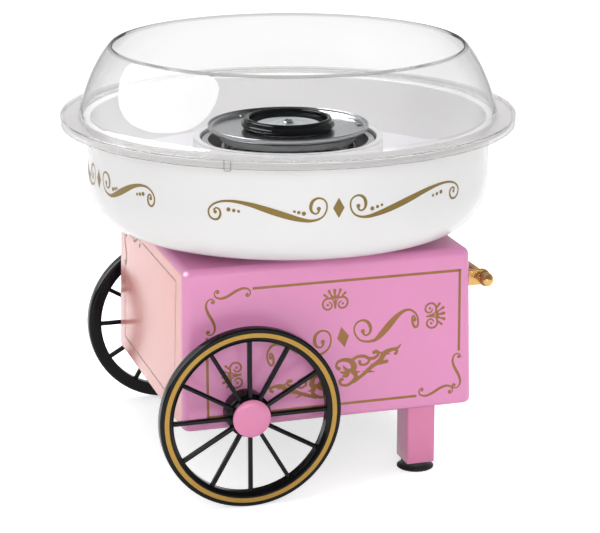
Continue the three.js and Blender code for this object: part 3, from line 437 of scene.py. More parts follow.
class Form:
    """The points and faces of a piece, in millimetres, while it is put together."""

    def __init__(self):
        self.points = []
        self.faces = []
        self.finishes = []

    def add(self, points, faces, finish_number=0):
        base = len(self.points)
        self.points += [Vector(p) for p in points]
        self.faces += [[base + i for i in face] for face in faces]
        self.finishes += [finish_number] * len(faces)
        return self

    def turn(self, profile, turns=96, closed=True, place=None, finish_number=0):
        """Turns a profile of (radius, height) round Z. A closed one is the section of a ring."""
        place = place or Matrix()
        count = len(profile)
        points = [place @ Vector((r * math.cos(a), r * math.sin(a), z))
                  for a in (math.tau * i / turns for i in range(turns)) for r, z in profile]
        faces = []
        for i in range(turns):
            here, beside = i * count, (i + 1) % turns * count
            for j in range(count if closed else count - 1):
                k = (j + 1) % count
                faces.append((here + j, here + k, beside + k, beside + j))
        return self.add(points, faces, finish_number)

    def loft(self, rings, finish_number=0):
        """Joins rings of equally many points, and closes the first and the last with a face."""
        count = len(rings[0])
        faces = [(i * count + j, i * count + (j + 1) % count,
                  (i + 1) * count + (j + 1) % count, (i + 1) * count + j)
                 for i in range(len(rings) - 1) for j in range(count)]
        faces.append(tuple(reversed(range(count))))
        faces.append(tuple(range((len(rings) - 1) * count, len(rings) * count)))
        return self.add([p for ring in rings for p in ring], faces, finish_number)

    def sweep(self, path, radius, sides=12):
        """A round rod along a path of 3-D points, closed at both ends."""
        rings = []
        across = None
        for i, point in enumerate(path):
            along = (path[min(i + 1, len(path) - 1)] - path[max(i - 1, 0)]).normalized()
            if across is None:
                across = along.orthogonal()
            across = (across - along * across.dot(along)).normalized()
            other = along.cross(across)
            rings.append([point + radius * (across * math.cos(a) + other * math.sin(a))
                          for a in (math.tau * k / sides for k in range(sides))])
        return self.loft(rings)

    def moved(self, matrix):
        self.points = [matrix @ p for p in self.points]
        return self

    def refinish(self, number, belongs):
        """Gives another finish to each face whose middle belongs."""
        for i, face in enumerate(self.faces):
            if belongs(sum((self.points[k] for k in face), Vector()) / len(face)):
                self.finishes[i] = number

    def hang(self, name, materials, body, stands_for=(), slot=None, crease=32):
        """Makes the piece, smooth but for its creases, and hangs it on a body of the model."""
        mesh = bpy.data.meshes.new(name)
        mesh.from_pydata([p * MM for p in self.points], [], self.faces)
        for number, face in zip(self.finishes, mesh.polygons):
            face.material_index = number
        shape = bmesh.new()
        shape.from_mesh(mesh)
        bmesh.ops.remove_doubles(shape, verts=shape.verts, dist=0.0005 * MM)
        bmesh.ops.dissolve_degenerate(shape, edges=shape.edges, dist=0.0002 * MM)
        bmesh.ops.recalc_face_normals(shape, faces=shape.faces)
        shape.to_mesh(mesh)
        shape.free()
        for material in materials:
            mesh.materials.append(finish(material))
        mesh.shade_smooth()
        mesh.set_sharp_from_angle(angle=math.radians(crease))
        piece = bpy.data.objects.new(name, mesh)
        bpy.context.scene.collection.objects.link(piece)
        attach(piece, body)
        if stands_for:
            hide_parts(*stands_for)
        return piece


def dress(node, material):
    """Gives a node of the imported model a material."""
    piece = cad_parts[node]
    for slot in piece.material_slots:
        slot.material = finish(material)


def sideways(side, x=0.0, z=0.0):
    """Carries a shape turned round Z to an axle that points out of a long side at (x, z)."""
    return Matrix.Translation((x, 0, z)) @ Matrix.Rotation(-side * math.pi / 2, 4, "X")


# Print, in flat motifs: lines of knots (x, y, half width), dots (x, y, radius), and patches of
# corners


# Each stroke of a motif lies this much higher than the last, and rises by the creep at each point,
# so that where strokes cross, or one crosses itself, none flickers
LAYER, CREEP = 0.01, 0.0003


def motif(lines=(), dots=(), patches=()):
    return {"lines": list(lines), "dots": list(dots), "patches": list(patches)}


def placed(shape, x, y, degrees=0.0, flip=False, size=1.0):
    """A motif moved to a place, turned, and mirrored first if it is flipped."""
    spin = Matrix.Rotation(math.radians(degrees), 2) * size
    mirror = -1 if flip else 1

    def carry(point):
        moved = spin @ Vector((mirror * point[0], point[1]))
        return (moved.x + x, moved.y + y, *(n * size for n in point[2:]))

    return motif([[carry(p) for p in line] for line in shape["lines"]],
                 [carry(dot) for dot in shape["dots"]],
                 [[carry(p) for p in patch] for patch in shape["patches"]])


def round_ended(line):
    """A line of points (x, y, half width), with a half circle added at both ends."""
    ends = []
    for point, inner in ((line[0], line[1]), (line[-1], line[-2])):
        outward = (point - inner).xy.normalized() * point.z
        ends.append([Vector((*(point.xy + outward * math.sin(a)), point.z * math.cos(a)))
                     for a in (math.radians(15 * k) for k in range(1, 7))])
    return [*reversed(ends[0]), *line, *ends[1]]


def print_motifs(name, surface, motifs, material, body, slot):
    """Lays motifs on a surface, which turns flat (x, y) and a height, in millimetres, into a
    point."""
    form = Form()
    for shape in motifs:
        height = 0.0
        for knots in shape["lines"]:
            line = round_ended(smooth_line(knots))
            count = len(line)
            left, right = [], []
            for i, p in enumerate(line):
                along = (line[min(i + 1, count - 1)] - line[max(i - 1, 0)]).xy.normalized()
                across = Vector((-along.y, along.x)) * p.z
                rise = height + CREEP * i
                left.append(surface(*(p.xy + across), rise))
                right.append(surface(*(p.xy - across), rise))
            form.add(left + right, [(i, i + 1, count + i + 1, count + i) for i in range(count - 1)])
            height += LAYER
        for x, y, radius in shape["dots"]:
            form.add([surface(x, y, height),
                      *(surface(*p, height) for p in arc(x, y, radius, radius, 0, 345, 23))],
                     [(0, 1 + i, 1 + (i + 1) % 24) for i in range(24)])
            height += LAYER
        for corners in shape["patches"]:
            middle = sum((Vector(c) for c in corners), Vector((0, 0))) / len(corners)
            count = len(corners)
            form.add([surface(*middle, height), *(surface(*c, height) for c in corners)],
                     [(0, 1 + i, 1 + (i + 1) % count) for i in range(count)])
            height += LAYER
    return form.hang(name, [material], body, slot=slot, crease=180)


def straight(x0, y0, x1, y1, width):
    """A straight line of the print, with square ends."""
    along = Vector((x1 - x0, y1 - y0)).normalized() * width / 2
    across = Vector((-along.y, along.x))
    start, end = Vector((x0, y0)) - along, Vector((x1, y1)) + along
    return motif(patches=[[start + across, start - across, end - across, end + across]])


def wave_scroll():
    """A small S scroll with a ball at each end, from (0, 0) to (22.5, 0)."""
    half = [(2.9, 1.7, 0.36), (2.2, 2.65, 0.38), (0.9, 2.35, 0.4), (0.0, 0.8, 0.44),
            (0.5, -1.1, 0.52), (2.2, -2.3, 0.62), (4.9, -2.6, 0.75), (8.6, -1.4, 0.86),
            (11.25, 0, 0.92)]
    other = [(22.5 - x, -y, w) for x, y, w in reversed(half[:-1])]
    return motif(lines=[half + other], dots=[(1.95, 1.25, 0.95), (20.55, -1.25, 0.95)])


def fleuron():
    """A palmette that points up from (0, 0): five clubs over two volutes, crossed on its stem."""
    volute = [(-1.8, 8.2, 0.35), (0.2, 6.9, 0.5), (2.8, 6.6, 0.6), (5.6, 6.6, 0.64),
              (7.6, 5.0, 0.64), (8.0, 2.5, 0.62), (6.5, 0.2, 0.62), (4.0, -0.3, 0.6),
              (2.3, 1.2, 0.55), (2.4, 3.2, 0.5), (3.8, 4.2, 0.42)]
    side = [(0.3, 1.6, 0.45), (1.0, 4.6, 0.4), (2.6, 7.2, 0.4)]
    mirrored = [[(-x, y, w) for x, y, w in line] for line in (volute, side)]
    clubs = [[(0, 0.3, 0.65), (0, 4.4, 0.42), (0, 8.6, 0.6), (0, 11.4, 1.05)]]
    for degrees, start, end, width in ((24, 4.6, 9.2, 0.9), (-24, 4.6, 9.2, 0.9),
                                       (47, 5.2, 9.2, 0.78), (-47, 5.2, 9.2, 0.78)):
        angle = math.radians(90 - degrees)
        clubs.append([(r * math.cos(angle), 3.0 + r * math.sin(angle), w)
                      for r, w in ((start, 0.36), (end * 0.78, 0.58), (end, width))])
    return motif(lines=[volute, mirrored[0], side, mirrored[1], *clubs],
                 dots=[(4.9, 2.6, 0.8), (-4.9, 2.6, 0.8)])


def scroll_bracket():
    """A leafy bracket that climbs to the right from two curls, its foot at (0, 0)."""
    lines = [
        # The upper and the lower curl, and the spine that joins them
        [(-0.4, 11.6, 1.0), (-2.0, 13.0, 0.6), (-1.0, 15.9, 0.65), (2.9, 17.0, 0.9),
         (7.6, 15.6, 1.3), (9.6, 12.0, 1.5), (8.8, 9.0, 1.2), (10.8, 6.2, 1.0), (9.6, 3.4, 0.9),
         (5.4, 0.5, 0.75), (1.2, 1.1, 0.65), (0.2, 3.6, 0.7), (1.7, 4.6, 0.9)],
        # Leaves between them
        [(9.0, 10.4, 1.0), (5.8, 9.8, 0.9), (3.3, 11.8, 0.6), (2.6, 13.2, 0.3)],
        [(6.4, 9.6, 0.8), (3.4, 8.6, 0.9), (0.6, 9.4, 0.3)],
        [(6.2, 8.8, 0.8), (4.6, 6.6, 0.9), (1.9, 6.6, 0.3)],
        # The upper tendril and its curl
        [(7.8, 16.0, 0.8), (11.6, 18.1, 0.75), (16.4, 18.0, 0.8), (19.6, 15.6, 0.7),
         (17.6, 12.9, 0.6), (13.8, 13.0, 0.6), (13.2, 15.0, 0.8)],
        [(18.2, 16.7, 0.6), (22.4, 16.3, 0.8), (25.4, 18.4, 0.7), (24.4, 20.6, 0.8),
         (22.6, 20.0, 0.9)],
        # The stem, with its barbs and its tip
        [(9.6, 2.4, 0.9), (15.0, 6.0, 0.9), (21.2, 10.9, 1.0), (26.6, 14.4, 1.2), (29.6, 18.8, 1.3),
         (33.6, 20.6, 0.9), (37.8, 21.2, 0.7), (40.4, 23.6, 0.2)],
        [(35.6, 21.0, 0.7), (37.9, 19.6, 0.6), (36.8, 17.9, 0.8)],
        [(15.4, 8.2, 0.2), (19.0, 8.0, 0.6), (23.0, 7.4, 0.15)],
        [(20.6, 12.4, 0.2), (26.0, 12.6, 0.8), (31.0, 13.4, 0.9)],
        [(25.6, 20.2, 0.15), (28.6, 18.8, 0.7), (33.4, 18.0, 0.15)],
        [(10.4, 8.4, 0.9), (13.6, 8.2, 0.15)],
    ]
    brush = 1.3
    return motif(lines=[[(x, y, brush * w) for x, y, w in line] for line in lines])


def diamond():
    """A tall diamond round (0, 0)."""
    return motif(patches=[[(0, 6.2), (-3.5, 0), (0, -6.2), (3.5, 0)]])


def long_scroll(reach, inset=None, spread=1.0):
    """A long tapered scroll to the right, its spiral beside the diamond at (0, 0). With an inset,
    two rows of three dots follow it, the outer one that far in from its end, spread as asked."""
    knots = [(11.9, -0.1, 0.85), (12.5, -1.9, 0.55), (14.2, -2.5, 0.55), (16.2, -1.0, 0.75),
             (16.7, 2.0, 1.0), (15.4, 5.2, 0.9), (12.4, 6.8, 0.62), (9.2, 6.0, 0.52),
             (7.3, 3.4, 0.5), (7.4, -0.6, 0.5), (9.5, -4.3, 0.54), (13.2, -6.2, 0.66),
             (17.9, -6.6, 0.95),
             (23.0, -5.8, 1.3), (29.0, -4.4, 1.65), (35.5, -2.6, 1.88), (42.5, -0.6, 1.95),
             (49.5, 1.4, 1.8), (57.7, 3.6, 1.45), (66.6, 5.3, 1.05), (74.2, 6.0, 0.78),
             (81.6, 5.5, 0.64), (87.6, 3.4, 0.56), (90.9, 0.2, 0.54), (90.4, -3.4, 0.56),
             (87.4, -5.4, 0.62), (83.9, -5.0, 0.68), (82.0, -2.4, 0.68), (82.6, 0.6, 0.58),
             (85.0, 1.6, 0.5), (86.8, 0.4, 0.55)]
    scale = (reach - 18) / (max(x for x, *_ in knots) - 18)
    stretched = [(x if x < 18 else 18 + (x - 18) * scale, y, w) for x, y, w in knots]
    dots = [(12.0, 0.4, 1.25), (18 + (85.9 - 18) * scale, -0.9, 1.1)]
    if inset:
        near, far = 20.9, reach - inset
        dots += [(near, -2.0, 1.3), (near + 3.4 * spread, -1.2, 1.05),
                 (near + 6.3 * spread, -0.5, 0.85), (far, 0.9, 1.3),
                 (far - 3.7 * spread, 0.3, 1.1), (far - 7.1 * spread, -0.1, 0.9)]
    return motif(lines=[stretched], dots=dots)


# Places that several pieces share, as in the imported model

HOUSING_BOTTOM, HOUSING_TOP = (corner.z for corner in cad("housing_shell"))
WALL_SLOPE = math.tan(math.radians(1.24))
AXLE = centre("axle").xz
LEG = centre("far_leg").xy
# The bend from the bowl's wall to its floor: its middle (radius, z), and its reach each way
BOWL_BEND = (109, 184, 19.4, 30)
BOWL_RADIUS = 128.4


def half_length(z):
    """From the middle to the housing's end wall at height z."""
    return 94.4 - (z - HOUSING_BOTTOM) * WALL_SLOPE


def half_width(z):
    """From the middle to the housing's long wall at height z."""
    return 91.2 - (z - HOUSING_BOTTOM) * WALL_SLOPE


def at_leg(side):
    """Carries a shape to the leg of a side."""
    return Matrix.Translation((LEG.x, side * LEG.y, 0))


class CartPiece:
    """What the operators share."""

    bl_options = {"REGISTER", "UNDO"}

    def execute(self, context):
        self.build(context.scene.cart_sizes)
        return {"FINISHED"}


class CART_OT_housing(CartPiece, bpy.types.Operator):
    """Build the moulded housing, with its rounded edges, and the bosses that the axle runs in"""

    bl_idname = "cart.housing"
    bl_label = "Housing"

    def build(self, sizes):
        corner = sizes.housing_corner / MM
        top_edge = sizes.housing_top_edge / MM
        low_edge = sizes.housing_low_edge / MM
        bottom, top = HOUSING_BOTTOM, HOUSING_TOP

        def ring(inset, z):
            return rectangle(half_length(z) - inset, half_width(z) - inset,
                             max(corner - inset, 1.0), z)

        # From the inside of the roof, down the inside, round the ledge and up the outside
        rings = [ring(5.0, top - 2.6), ring(2.6, top - 5.0), ring(2.6, 50.9), ring(9.4, 50.9),
                 ring(9.4, 48.3), ring(6.0, 48.3), ring(6.0, 45.3), ring(5.7, bottom)]
        rings += [ring(low_edge - p.x, p.y) for p in
                  arc(0, bottom + low_edge, low_edge, low_edge, 270, 360, 8)]
        rings += [ring(0, z) for z in (60.0, 80.0, 100.0, 120.0)]
        rings += [ring(top_edge - p.x, p.y) for p in
                  arc(0, top - top_edge, top_edge, top_edge, 0, 90, 10)]
        form = Form().loft(rings)
        # The flat of the front end, between its rounded corners, carries the printed ground
        form.refinish(1, lambda middle: middle.x < 0.3 - half_length(middle.z)
                      and abs(middle.y) < half_width(middle.z) - corner + 0.5)
        for _, side in SIDES:
            form.turn(rounded([(3.3, 88), (8.4, 88), (8.4, 91.44, 0.4), (3.3, 91.44)]), 40,
                      place=sideways(side, *AXLE))
        form.hang("housing", ["pink_abs_moulded", "peach_ground_printed"], "cart",
                  ["housing_shell"], "pink_plastic")


class CART_OT_bottom_cover(CartPiece, bpy.types.Operator):
    """Finish the vented cover under the cart, and build its four cross head screws"""

    bl_idname = "cart.bottom_cover"
    bl_label = "Bottom Cover"

    def build(self, sizes):
        dress("bottom_cover", "black_polypropylene_moulded")
        floor = cad("bottom_cover")[0].z
        head = rounded([(0, 0), (3.2, 0, 0.5), (3.2, 1.1, 0.2), (0, 1.1)], closed=False, steps=4)
        form = Form()
        for x in (-83.5, 83.5):
            for y in (-52, 52):
                place = Matrix.Translation((x, y, floor + 0.1))
                form.turn(head, 24, closed=False, place=place)
                for degrees in (20, 110):
                    slot = place @ Matrix.Rotation(math.radians(degrees), 4, "Z")
                    form.loft([[slot @ p for p in rectangle(1.9, 0.35, 0.1, z, 1)]
                               for z in (-0.02, 0.03)], finish_number=1)
        form.hang("cover_screws", ["steel_drawn", "black_polypropylene_moulded"], "cart",
                  slot="steel")


class CART_OT_panel_print(CartPiece, bpy.types.Operator):
    """Print the gold frame, scrolls, palmettes and brackets on the housing"""

    bl_idname = "cart.panel_print"
    bl_label = "Panel Print"

    def build(self, sizes):
        width = sizes.print_line / MM
        proud = sizes.print_proud / MM
        left, right, low, high = -78.7, 84.7, 53.8, 133.2
        frame_lines = [
            straight(-48.7, high, right, high, width), straight(right, high, right, 81.7, width),
            straight(55.7, low, left, low, width), straight(left, low, left, 104, width),
            placed(wave_scroll(), -73.5, 131.2), placed(wave_scroll(), -76.2, 128.6, -90),
            placed(wave_scroll(), 58.2, 55.9), placed(wave_scroll(), 83.2, 79.0, -90),
        ]
        ornaments = [
            placed(fleuron(), 3.1, 116.0, 2), placed(fleuron(), 62.9, 105.2, -84),
            placed(fleuron(), -57.6, 79.4, 93), placed(scroll_bracket(), 5.6, 65.2),
            placed(scroll_bracket(), -0.6, 60.4, 17, flip=True, size=0.92),
        ]
        # The pair of scrolls across the middle climbs to the right
        middle = {"x": 8.0, "y": 97.0, "degrees": 9.5, "size": 1.1}
        ornaments += [placed(diamond(), **middle), placed(long_scroll(45), **middle),
                      placed(long_scroll(45), flip=True, **middle)]
        print_motifs("panel_print", lambda x, z, rise: (x, -half_width(z) - proud - rise, z),
                     frame_lines + ornaments, "panel_ink_printed", "cart", "antique_gold")
        # The front end, seen from its own side: the near edge is on its right
        end_lines = [
            straight(-21.2, 136.0, 70.2, 136.0, 0.8), straight(70.2, 136.0, 67.4, 57.0, 0.8),
            straight(67.4, 57.0, -72.0, 57.0, 0.8), straight(-72.0, 57.0, -72.0, 108.0, 0.8),
            placed(wave_scroll(), -49.0, 133.8), placed(wave_scroll(), -69.6, 131.0, -90),
        ]
        print_motifs("end_print", lambda x, z, rise: (-half_length(z) - proud - rise, -x, z),
                     end_lines, "brown_ink_printed", "cart", "antique_gold")


class CART_OT_wheels(CartPiece, bpy.types.Operator):
    """Build both spoked wheels with their pressed gold bands"""

    bl_idname = "cart.wheels"
    bl_label = "Wheels"

    def build(self, sizes):
        inner, outer = sizes.band_inner / MM, sizes.band_outer / MM
        rim = rounded([(48.3, 101, 0.7), (57, 101, 2.2), (57, 109, 2.4), (54.75, 109),
                       (54.65, 108.88), (54.45, 108.88), (54.35, 109), (51.3, 109), (51.2, 108.88),
                       (51.0, 108.88), (50.9, 109), (50.5, 109, 0.6), (48.3, 107.3, 0.8)])
        hub = rounded([(3.3, 91.94), (13.8, 91.94, 0.8), (13.8, 103.4, 1.0), (11.2, 104.6, 1.2),
                       (11.0, 107.5, 0.5), (8.6, 107.5, 0.2), (8.6, 101.5), (3.3, 101.5)])
        spoke = rounded([(-1.3, 103.0, 0.5), (1.3, 103.0, 0.5), (1.3, 106.1, 0.7),
                         (0, 106.5, 1.2), (-1.3, 106.1, 0.7)], steps=4)
        spokes = 12
        band = [(inner, 109.0), (inner + 0.15, 109.1), (outer - 0.15, 109.1), (outer, 109.0)]
        for name, side in SIDES:
            place = sideways(side, *AXLE)
            form = Form().turn(rim, 160, place=place).turn(hub, 72, place=place)
            for i in range(spokes):
                spin = Matrix.Rotation(math.tau * i / spokes, 4, "Z")
                form.loft([[place @ spin @ Vector((r, p.x, p.y)) for p in spoke]
                           for r in (8.2, 30.0, 48.8)])
            form.hang(f"{name}_spoked_wheel", ["black_abs_moulded"], f"{name}_road_wheel",
                      [f"{name}_wheel"], "black_plastic")
            Form().turn(band, 160, closed=False, place=place).hang(
                f"{name}_gold_band", ["gold_foil_pressed"], f"{name}_road_wheel",
                slot="antique_gold")


class CART_OT_hub_caps(CartPiece, bpy.types.Operator):
    """Build the domed hub caps, and finish the axle and the push nuts behind them"""

    bl_idname = "cart.hub_caps"
    bl_label = "Hub Caps"

    def build(self, sizes):
        profile = [(0, 108.4), (6.9, 108.4), (6.9, 104.2), (8.3, 104.2), (8.3, 107.8)]
        profile += rounded([(8.3, 107.8), (11.8, 107.8, 0.3), (11.8, 109.4)], closed=False)
        profile += arc(0, 109.0, 11.8, 2.3, 10, 90, 14)
        for name, side in SIDES:
            Form().turn(profile, 80, closed=False, place=sideways(side, *AXLE)).hang(
                f"{name}_domed_cap", ["deep_pink_abs_moulded"], f"{name}_road_wheel",
                [f"{name}_hub_cap"], "pink_plastic")
            dress(f"{name}_push_nut", "steel_drawn")
        dress("axle", "steel_drawn")


class CART_OT_legs(CartPiece, bpy.types.Operator):
    """Build the two square legs, with the round mark of the core pin on the inner side of each"""

    bl_idname = "cart.legs"
    bl_label = "Legs"

    def build(self, sizes):
        for name, side in SIDES:
            rings = [rectangle(9.3 - inset, 10.35 - inset, 1.4 - inset, z, 5) for inset, z in
                     ((0.5, 5.6), (0.15, 5.75), (0, 6.1), (0, 18.0), (0, 45.5))]
            form = Form().loft(rings)
            ring = rounded([(2.1, -0.6), (2.7, -0.6), (2.7, 0.12, 0.1), (2.1, 0.12, 0.1)], steps=3)
            mark = Matrix.Translation((-9.3, -1.0, 13.5)) @ Matrix.Rotation(-math.pi / 2, 4, "Y")
            form.turn(ring, 32, place=mark)
            form.moved(at_leg(side))
            form.hang(f"{name}_square_leg", ["deep_pink_abs_moulded"], "cart", [f"{name}_leg"],
                      "pink_plastic")


class CART_OT_feet(CartPiece, bpy.types.Operator):
    """Build the flared rubber feet"""

    bl_idname = "cart.feet"
    bl_label = "Feet"

    def build(self, sizes):
        flare = [Vector(p[:2]) for p in smooth_line(
            [(11.7, 0.9, 0), (10.6, 1.7, 0), (9.5, 2.9, 0), (9.1, 4.4, 0)], 0.3)]
        profile = [(0, 0.4), (8.6, 0.4), (9.0, 0), (11.3, 0), (11.75, 0.35), *flare,
                   (8.9, 5.0), (8.4, 5.3), (2.6, 5.3), (2.6, 15.0), (0, 15.3)]
        for name, side in SIDES:
            Form().turn(profile, 64, closed=False, place=at_leg(side)).hang(
                f"{name}_rubber_foot", ["rubber_moulded"], "cart", [f"{name}_foot"], "rubber")


class CART_OT_handle(CartPiece, bpy.types.Operator):
    """Build the push handle: two ridged arms, the bar through them and its ball ends"""

    bl_idname = "cart.handle"
    bl_label = "Push Handle"

    def build(self, sizes):
        bar_x, bar_z = centre("handle_bar").xz
        half = 5.1
        arm_y, ball_y, ball_radius = 74, 81, 4.6
        stations = [86.0, 93.0, 99.0, 103.0, *(bar_x + half * math.sin(math.radians(d)) * 0.999
                                               for d in range(0, 91, 9))]
        for name, side in SIDES:
            rings = []
            for x in stations:
                tall = math.sqrt(max(half**2 - max(x - bar_x, 0) ** 2, 0.04))
                ridge = 0.55 * min(tall / half, 1)
                section = rounded([(-1.5, -tall, 0.3), (0.95, -tall, 0.4),
                                   (0.95 + ridge, -0.25, 0.1), (0.95 + ridge, 0.25, 0.1),
                                   (0.95, tall, 0.4), (-1.5, tall, 0.3)], steps=3)
                rings.append([Vector((x, side * (arm_y + p.x), bar_z + p.y)) for p in section])
            form = Form().loft(rings)
            place = sideways(side, bar_x, bar_z)
            # The collar that the ball sits on
            form.turn(rounded([(3.3, 1.2), (4.1, 1.2, 0.2), (4.1, 2.3, 0.4), (3.3, 2.3)]), 32,
                      place=place @ Matrix.Translation((0, 0, arm_y)))
            form.hang(f"{name}_ridged_arm", ["gold_lacquer_sprayed"], "cart",
                      [f"{name}_handle_arm"], "antique_gold")
            ball = rounded([(0, 76.2), (3.2, 76.2, 0.3), (3.0, 77.2)], closed=False, steps=3)
            ball += arc(0, ball_y, ball_radius, ball_radius, -48, 90, 20)
            Form().turn(ball, 48, closed=False, place=place).hang(
                f"{name}_ball_knob", ["gold_lacquer_sprayed"], "cart",
                [f"{name}_handle_knob"], "antique_gold")
        bar = rounded([(0, -76.5), (3.25, -76.5, 0.3), (3.25, 76.5, 0.3), (0, 76.5)], closed=False)
        Form().turn(bar, 40, closed=False, place=sideways(1, bar_x, bar_z)).hang(
            "round_bar", ["gold_lacquer_sprayed"], "cart", ["handle_bar"], "antique_gold")


class CART_OT_tower(CartPiece, bpy.types.Operator):
    """Build the white tower that carries the bowl"""

    bl_idname = "cart.tower"
    bl_label = "Tower"

    def build(self, sizes):
        profile = rounded([(35, 139), (38, 139, 0.4), (38, 147.3), (55.6, 147.3), (55.6, 151),
                           (77.5, 151), (77.5, 147.3), (80, 147.3, 0.4), (80, 153.7, 1.6),
                           (55.6, 153.7, 2.0), (55.6, 202.4, 0.6), (53.4, 202.4, 0.6),
                           (53.4, 150.3), (35, 150.3)])
        Form().turn(profile, 128).hang("bowl_tower", ["white_abs_moulded"], "cart",
                                       ["tower"], "white_plastic")


class CART_OT_heater(CartPiece, bpy.types.Operator):
    """Build the heat dish and the tubular heater that runs round in it"""

    bl_idname = "cart.heater"
    bl_label = "Heater"

    def build(self, sizes):
        outer = [(9.0, 188.0), *arc(46, 194.4, 6.4, 6.4, 270, 360, 8), (52.4, 202.7)]
        inner = [(51.4, 203.7), *arc(46, 194.4, 5.4, 5.4, 360, 270, 8), (9.0, 189.0)]
        profile = outer + rounded([(52.4, 202.7), (55.3, 202.7, 0.3), (55.3, 203.7, 0.3),
                                   (51.4, 203.7)], closed=False, steps=3) + inner[1:]
        Form().turn(profile, 128).hang("spun_dish", ["dark_steel_spun"], "cart",
                                       ["heat_dish"], "dark_steel")
        ring_radius, ring_height, tube_radius, bend = 41, 197.5, 3.2, 5
        first_lead, last_lead = -22, -48
        ring = [Vector((*p, ring_height)) for p in
                arc(0, 0, ring_radius, ring_radius, first_lead + 7, last_lead + 360 - 8, 72)]

        def lead(degrees, way):
            """One end of the tube, from under the dish to its bend into the ring."""
            a = math.radians(degrees)
            base = Vector((ring_radius * math.cos(a), ring_radius * math.sin(a), 0))
            tangent = Vector((-math.sin(a), math.cos(a), 0)) * way
            return [base + Vector((0, 0, 181.6)), *(
                base + tangent * bend * (1 - math.cos(t))
                + Vector((0, 0, ring_height - bend * (1 - math.sin(t))))
                for t in (math.radians(18 * k) for k in range(5)))]

        path = lead(first_lead, 1) + ring + lead(last_lead, -1)[::-1]
        Form().sweep(path, tube_radius, 16).hang("tube_heater", ["nickel_tube_oxidised"], "cart",
                                         ["heater_ring"], "dark_steel", crease=60)
        for number in (1, 2, 3):
            dress(f"heater_post_{number}", "steatite_fired")


def bowl_outside(z):
    """Radius of the bowl's outer wall at height z."""
    middle, height, across, down = BOWL_BEND
    if z >= height:
        return BOWL_RADIUS
    return middle + across * math.sqrt(max(1 - ((height - z) / down) ** 2, 0))


class CART_OT_bowl(CartPiece, bpy.types.Operator):
    """Build the white bowl, its rim and the hollow column in its middle as one moulding"""

    bl_idname = "cart.bowl"
    bl_label = "Bowl"

    def build(self, sizes):
        outside = arc(*BOWL_BEND, 270, 360, 28)
        rim = rounded([(BOWL_RADIUS, 184), (BOWL_RADIUS, 218.6, 2.0), (142.5, 218.6, 0.5),
                       (142.5, 220.9, 0.5), (126, 220.9, 1.0), (126, 184)], closed=False)[1:-1]
        inside = arc(109, 184, 17, 27.6, 360, 270, 28)
        column = rounded([(90, 156.4), (62.2, 156.4, 5.0), (60.74, 204.8)], closed=False,
                         steps=8)[1:]
        # The lip takes finish 2, painted a little grey: painted shade, so that its lit top sits as
        # dark as the bowl's floor
        lip = rounded([(60.74, 204.8), (60.7, 206, 1.0), (56.6, 206, 0.5), (56.6, 203.4, 0.3),
                       (58.3, 203.4)], closed=False)[1:]
        under = [lip[-1], Vector((59.8, 154.3)), Vector((60.1, 154)), outside[0]]
        # Finish 1, the inside, is painted lighter than the outside: painted light against the shade
        # under the guard
        form = Form()
        for finish_number, profile in ((0, [*outside, *rim, inside[0]]), (1, [*inside, *column]),
                                       (2, [column[-1], *lip]), (0, under)):
            form.turn(profile, 192, closed=False, finish_number=finish_number)
        form.hang("white_bowl", ["white_abs_moulded", "bright_abs_painted_light", "grey_abs_painted_shade"],
                  "floss_bowl", ["bowl", "bowl_column"], "white_plastic")


class CART_OT_bowl_print(CartPiece, bpy.types.Operator):
    """Print the diamonds and long scrolls round the bowl"""

    bl_idname = "cart.bowl_print"
    bl_label = "Bowl Print"

    def build(self, sizes):
        proud = sizes.print_proud / MM

        def wall(along, up, rise):
            angle = along / BOWL_RADIUS
            z = 190 + up
            radius = bowl_outside(z) + proud + rise
            return radius * math.cos(angle), radius * math.sin(angle), z

        motifs = []
        # Each group: the angle of its diamond, its right and left scrolls, and the left one's tilt
        far, end = (84, 15, 1.0), (61, 9.3, 0.75)
        for degrees, right, left, tilt in (
                (-93.4, (90, 17.5, 1.0), (78, 12.5, 0.87), 1.8), (86.6, far, far, 0),
                (-172.5, end, end, 0), (7.5, end, end, 0)):
            along = math.radians(degrees) * BOWL_RADIUS
            motifs += [placed(diamond(), along, 0), placed(long_scroll(*right), along, 0),
                       placed(long_scroll(*left), along, 0, tilt, flip=True)]
        print_motifs("bowl_print", wall, motifs, "bowl_ink_printed", "floss_bowl", "antique_gold")


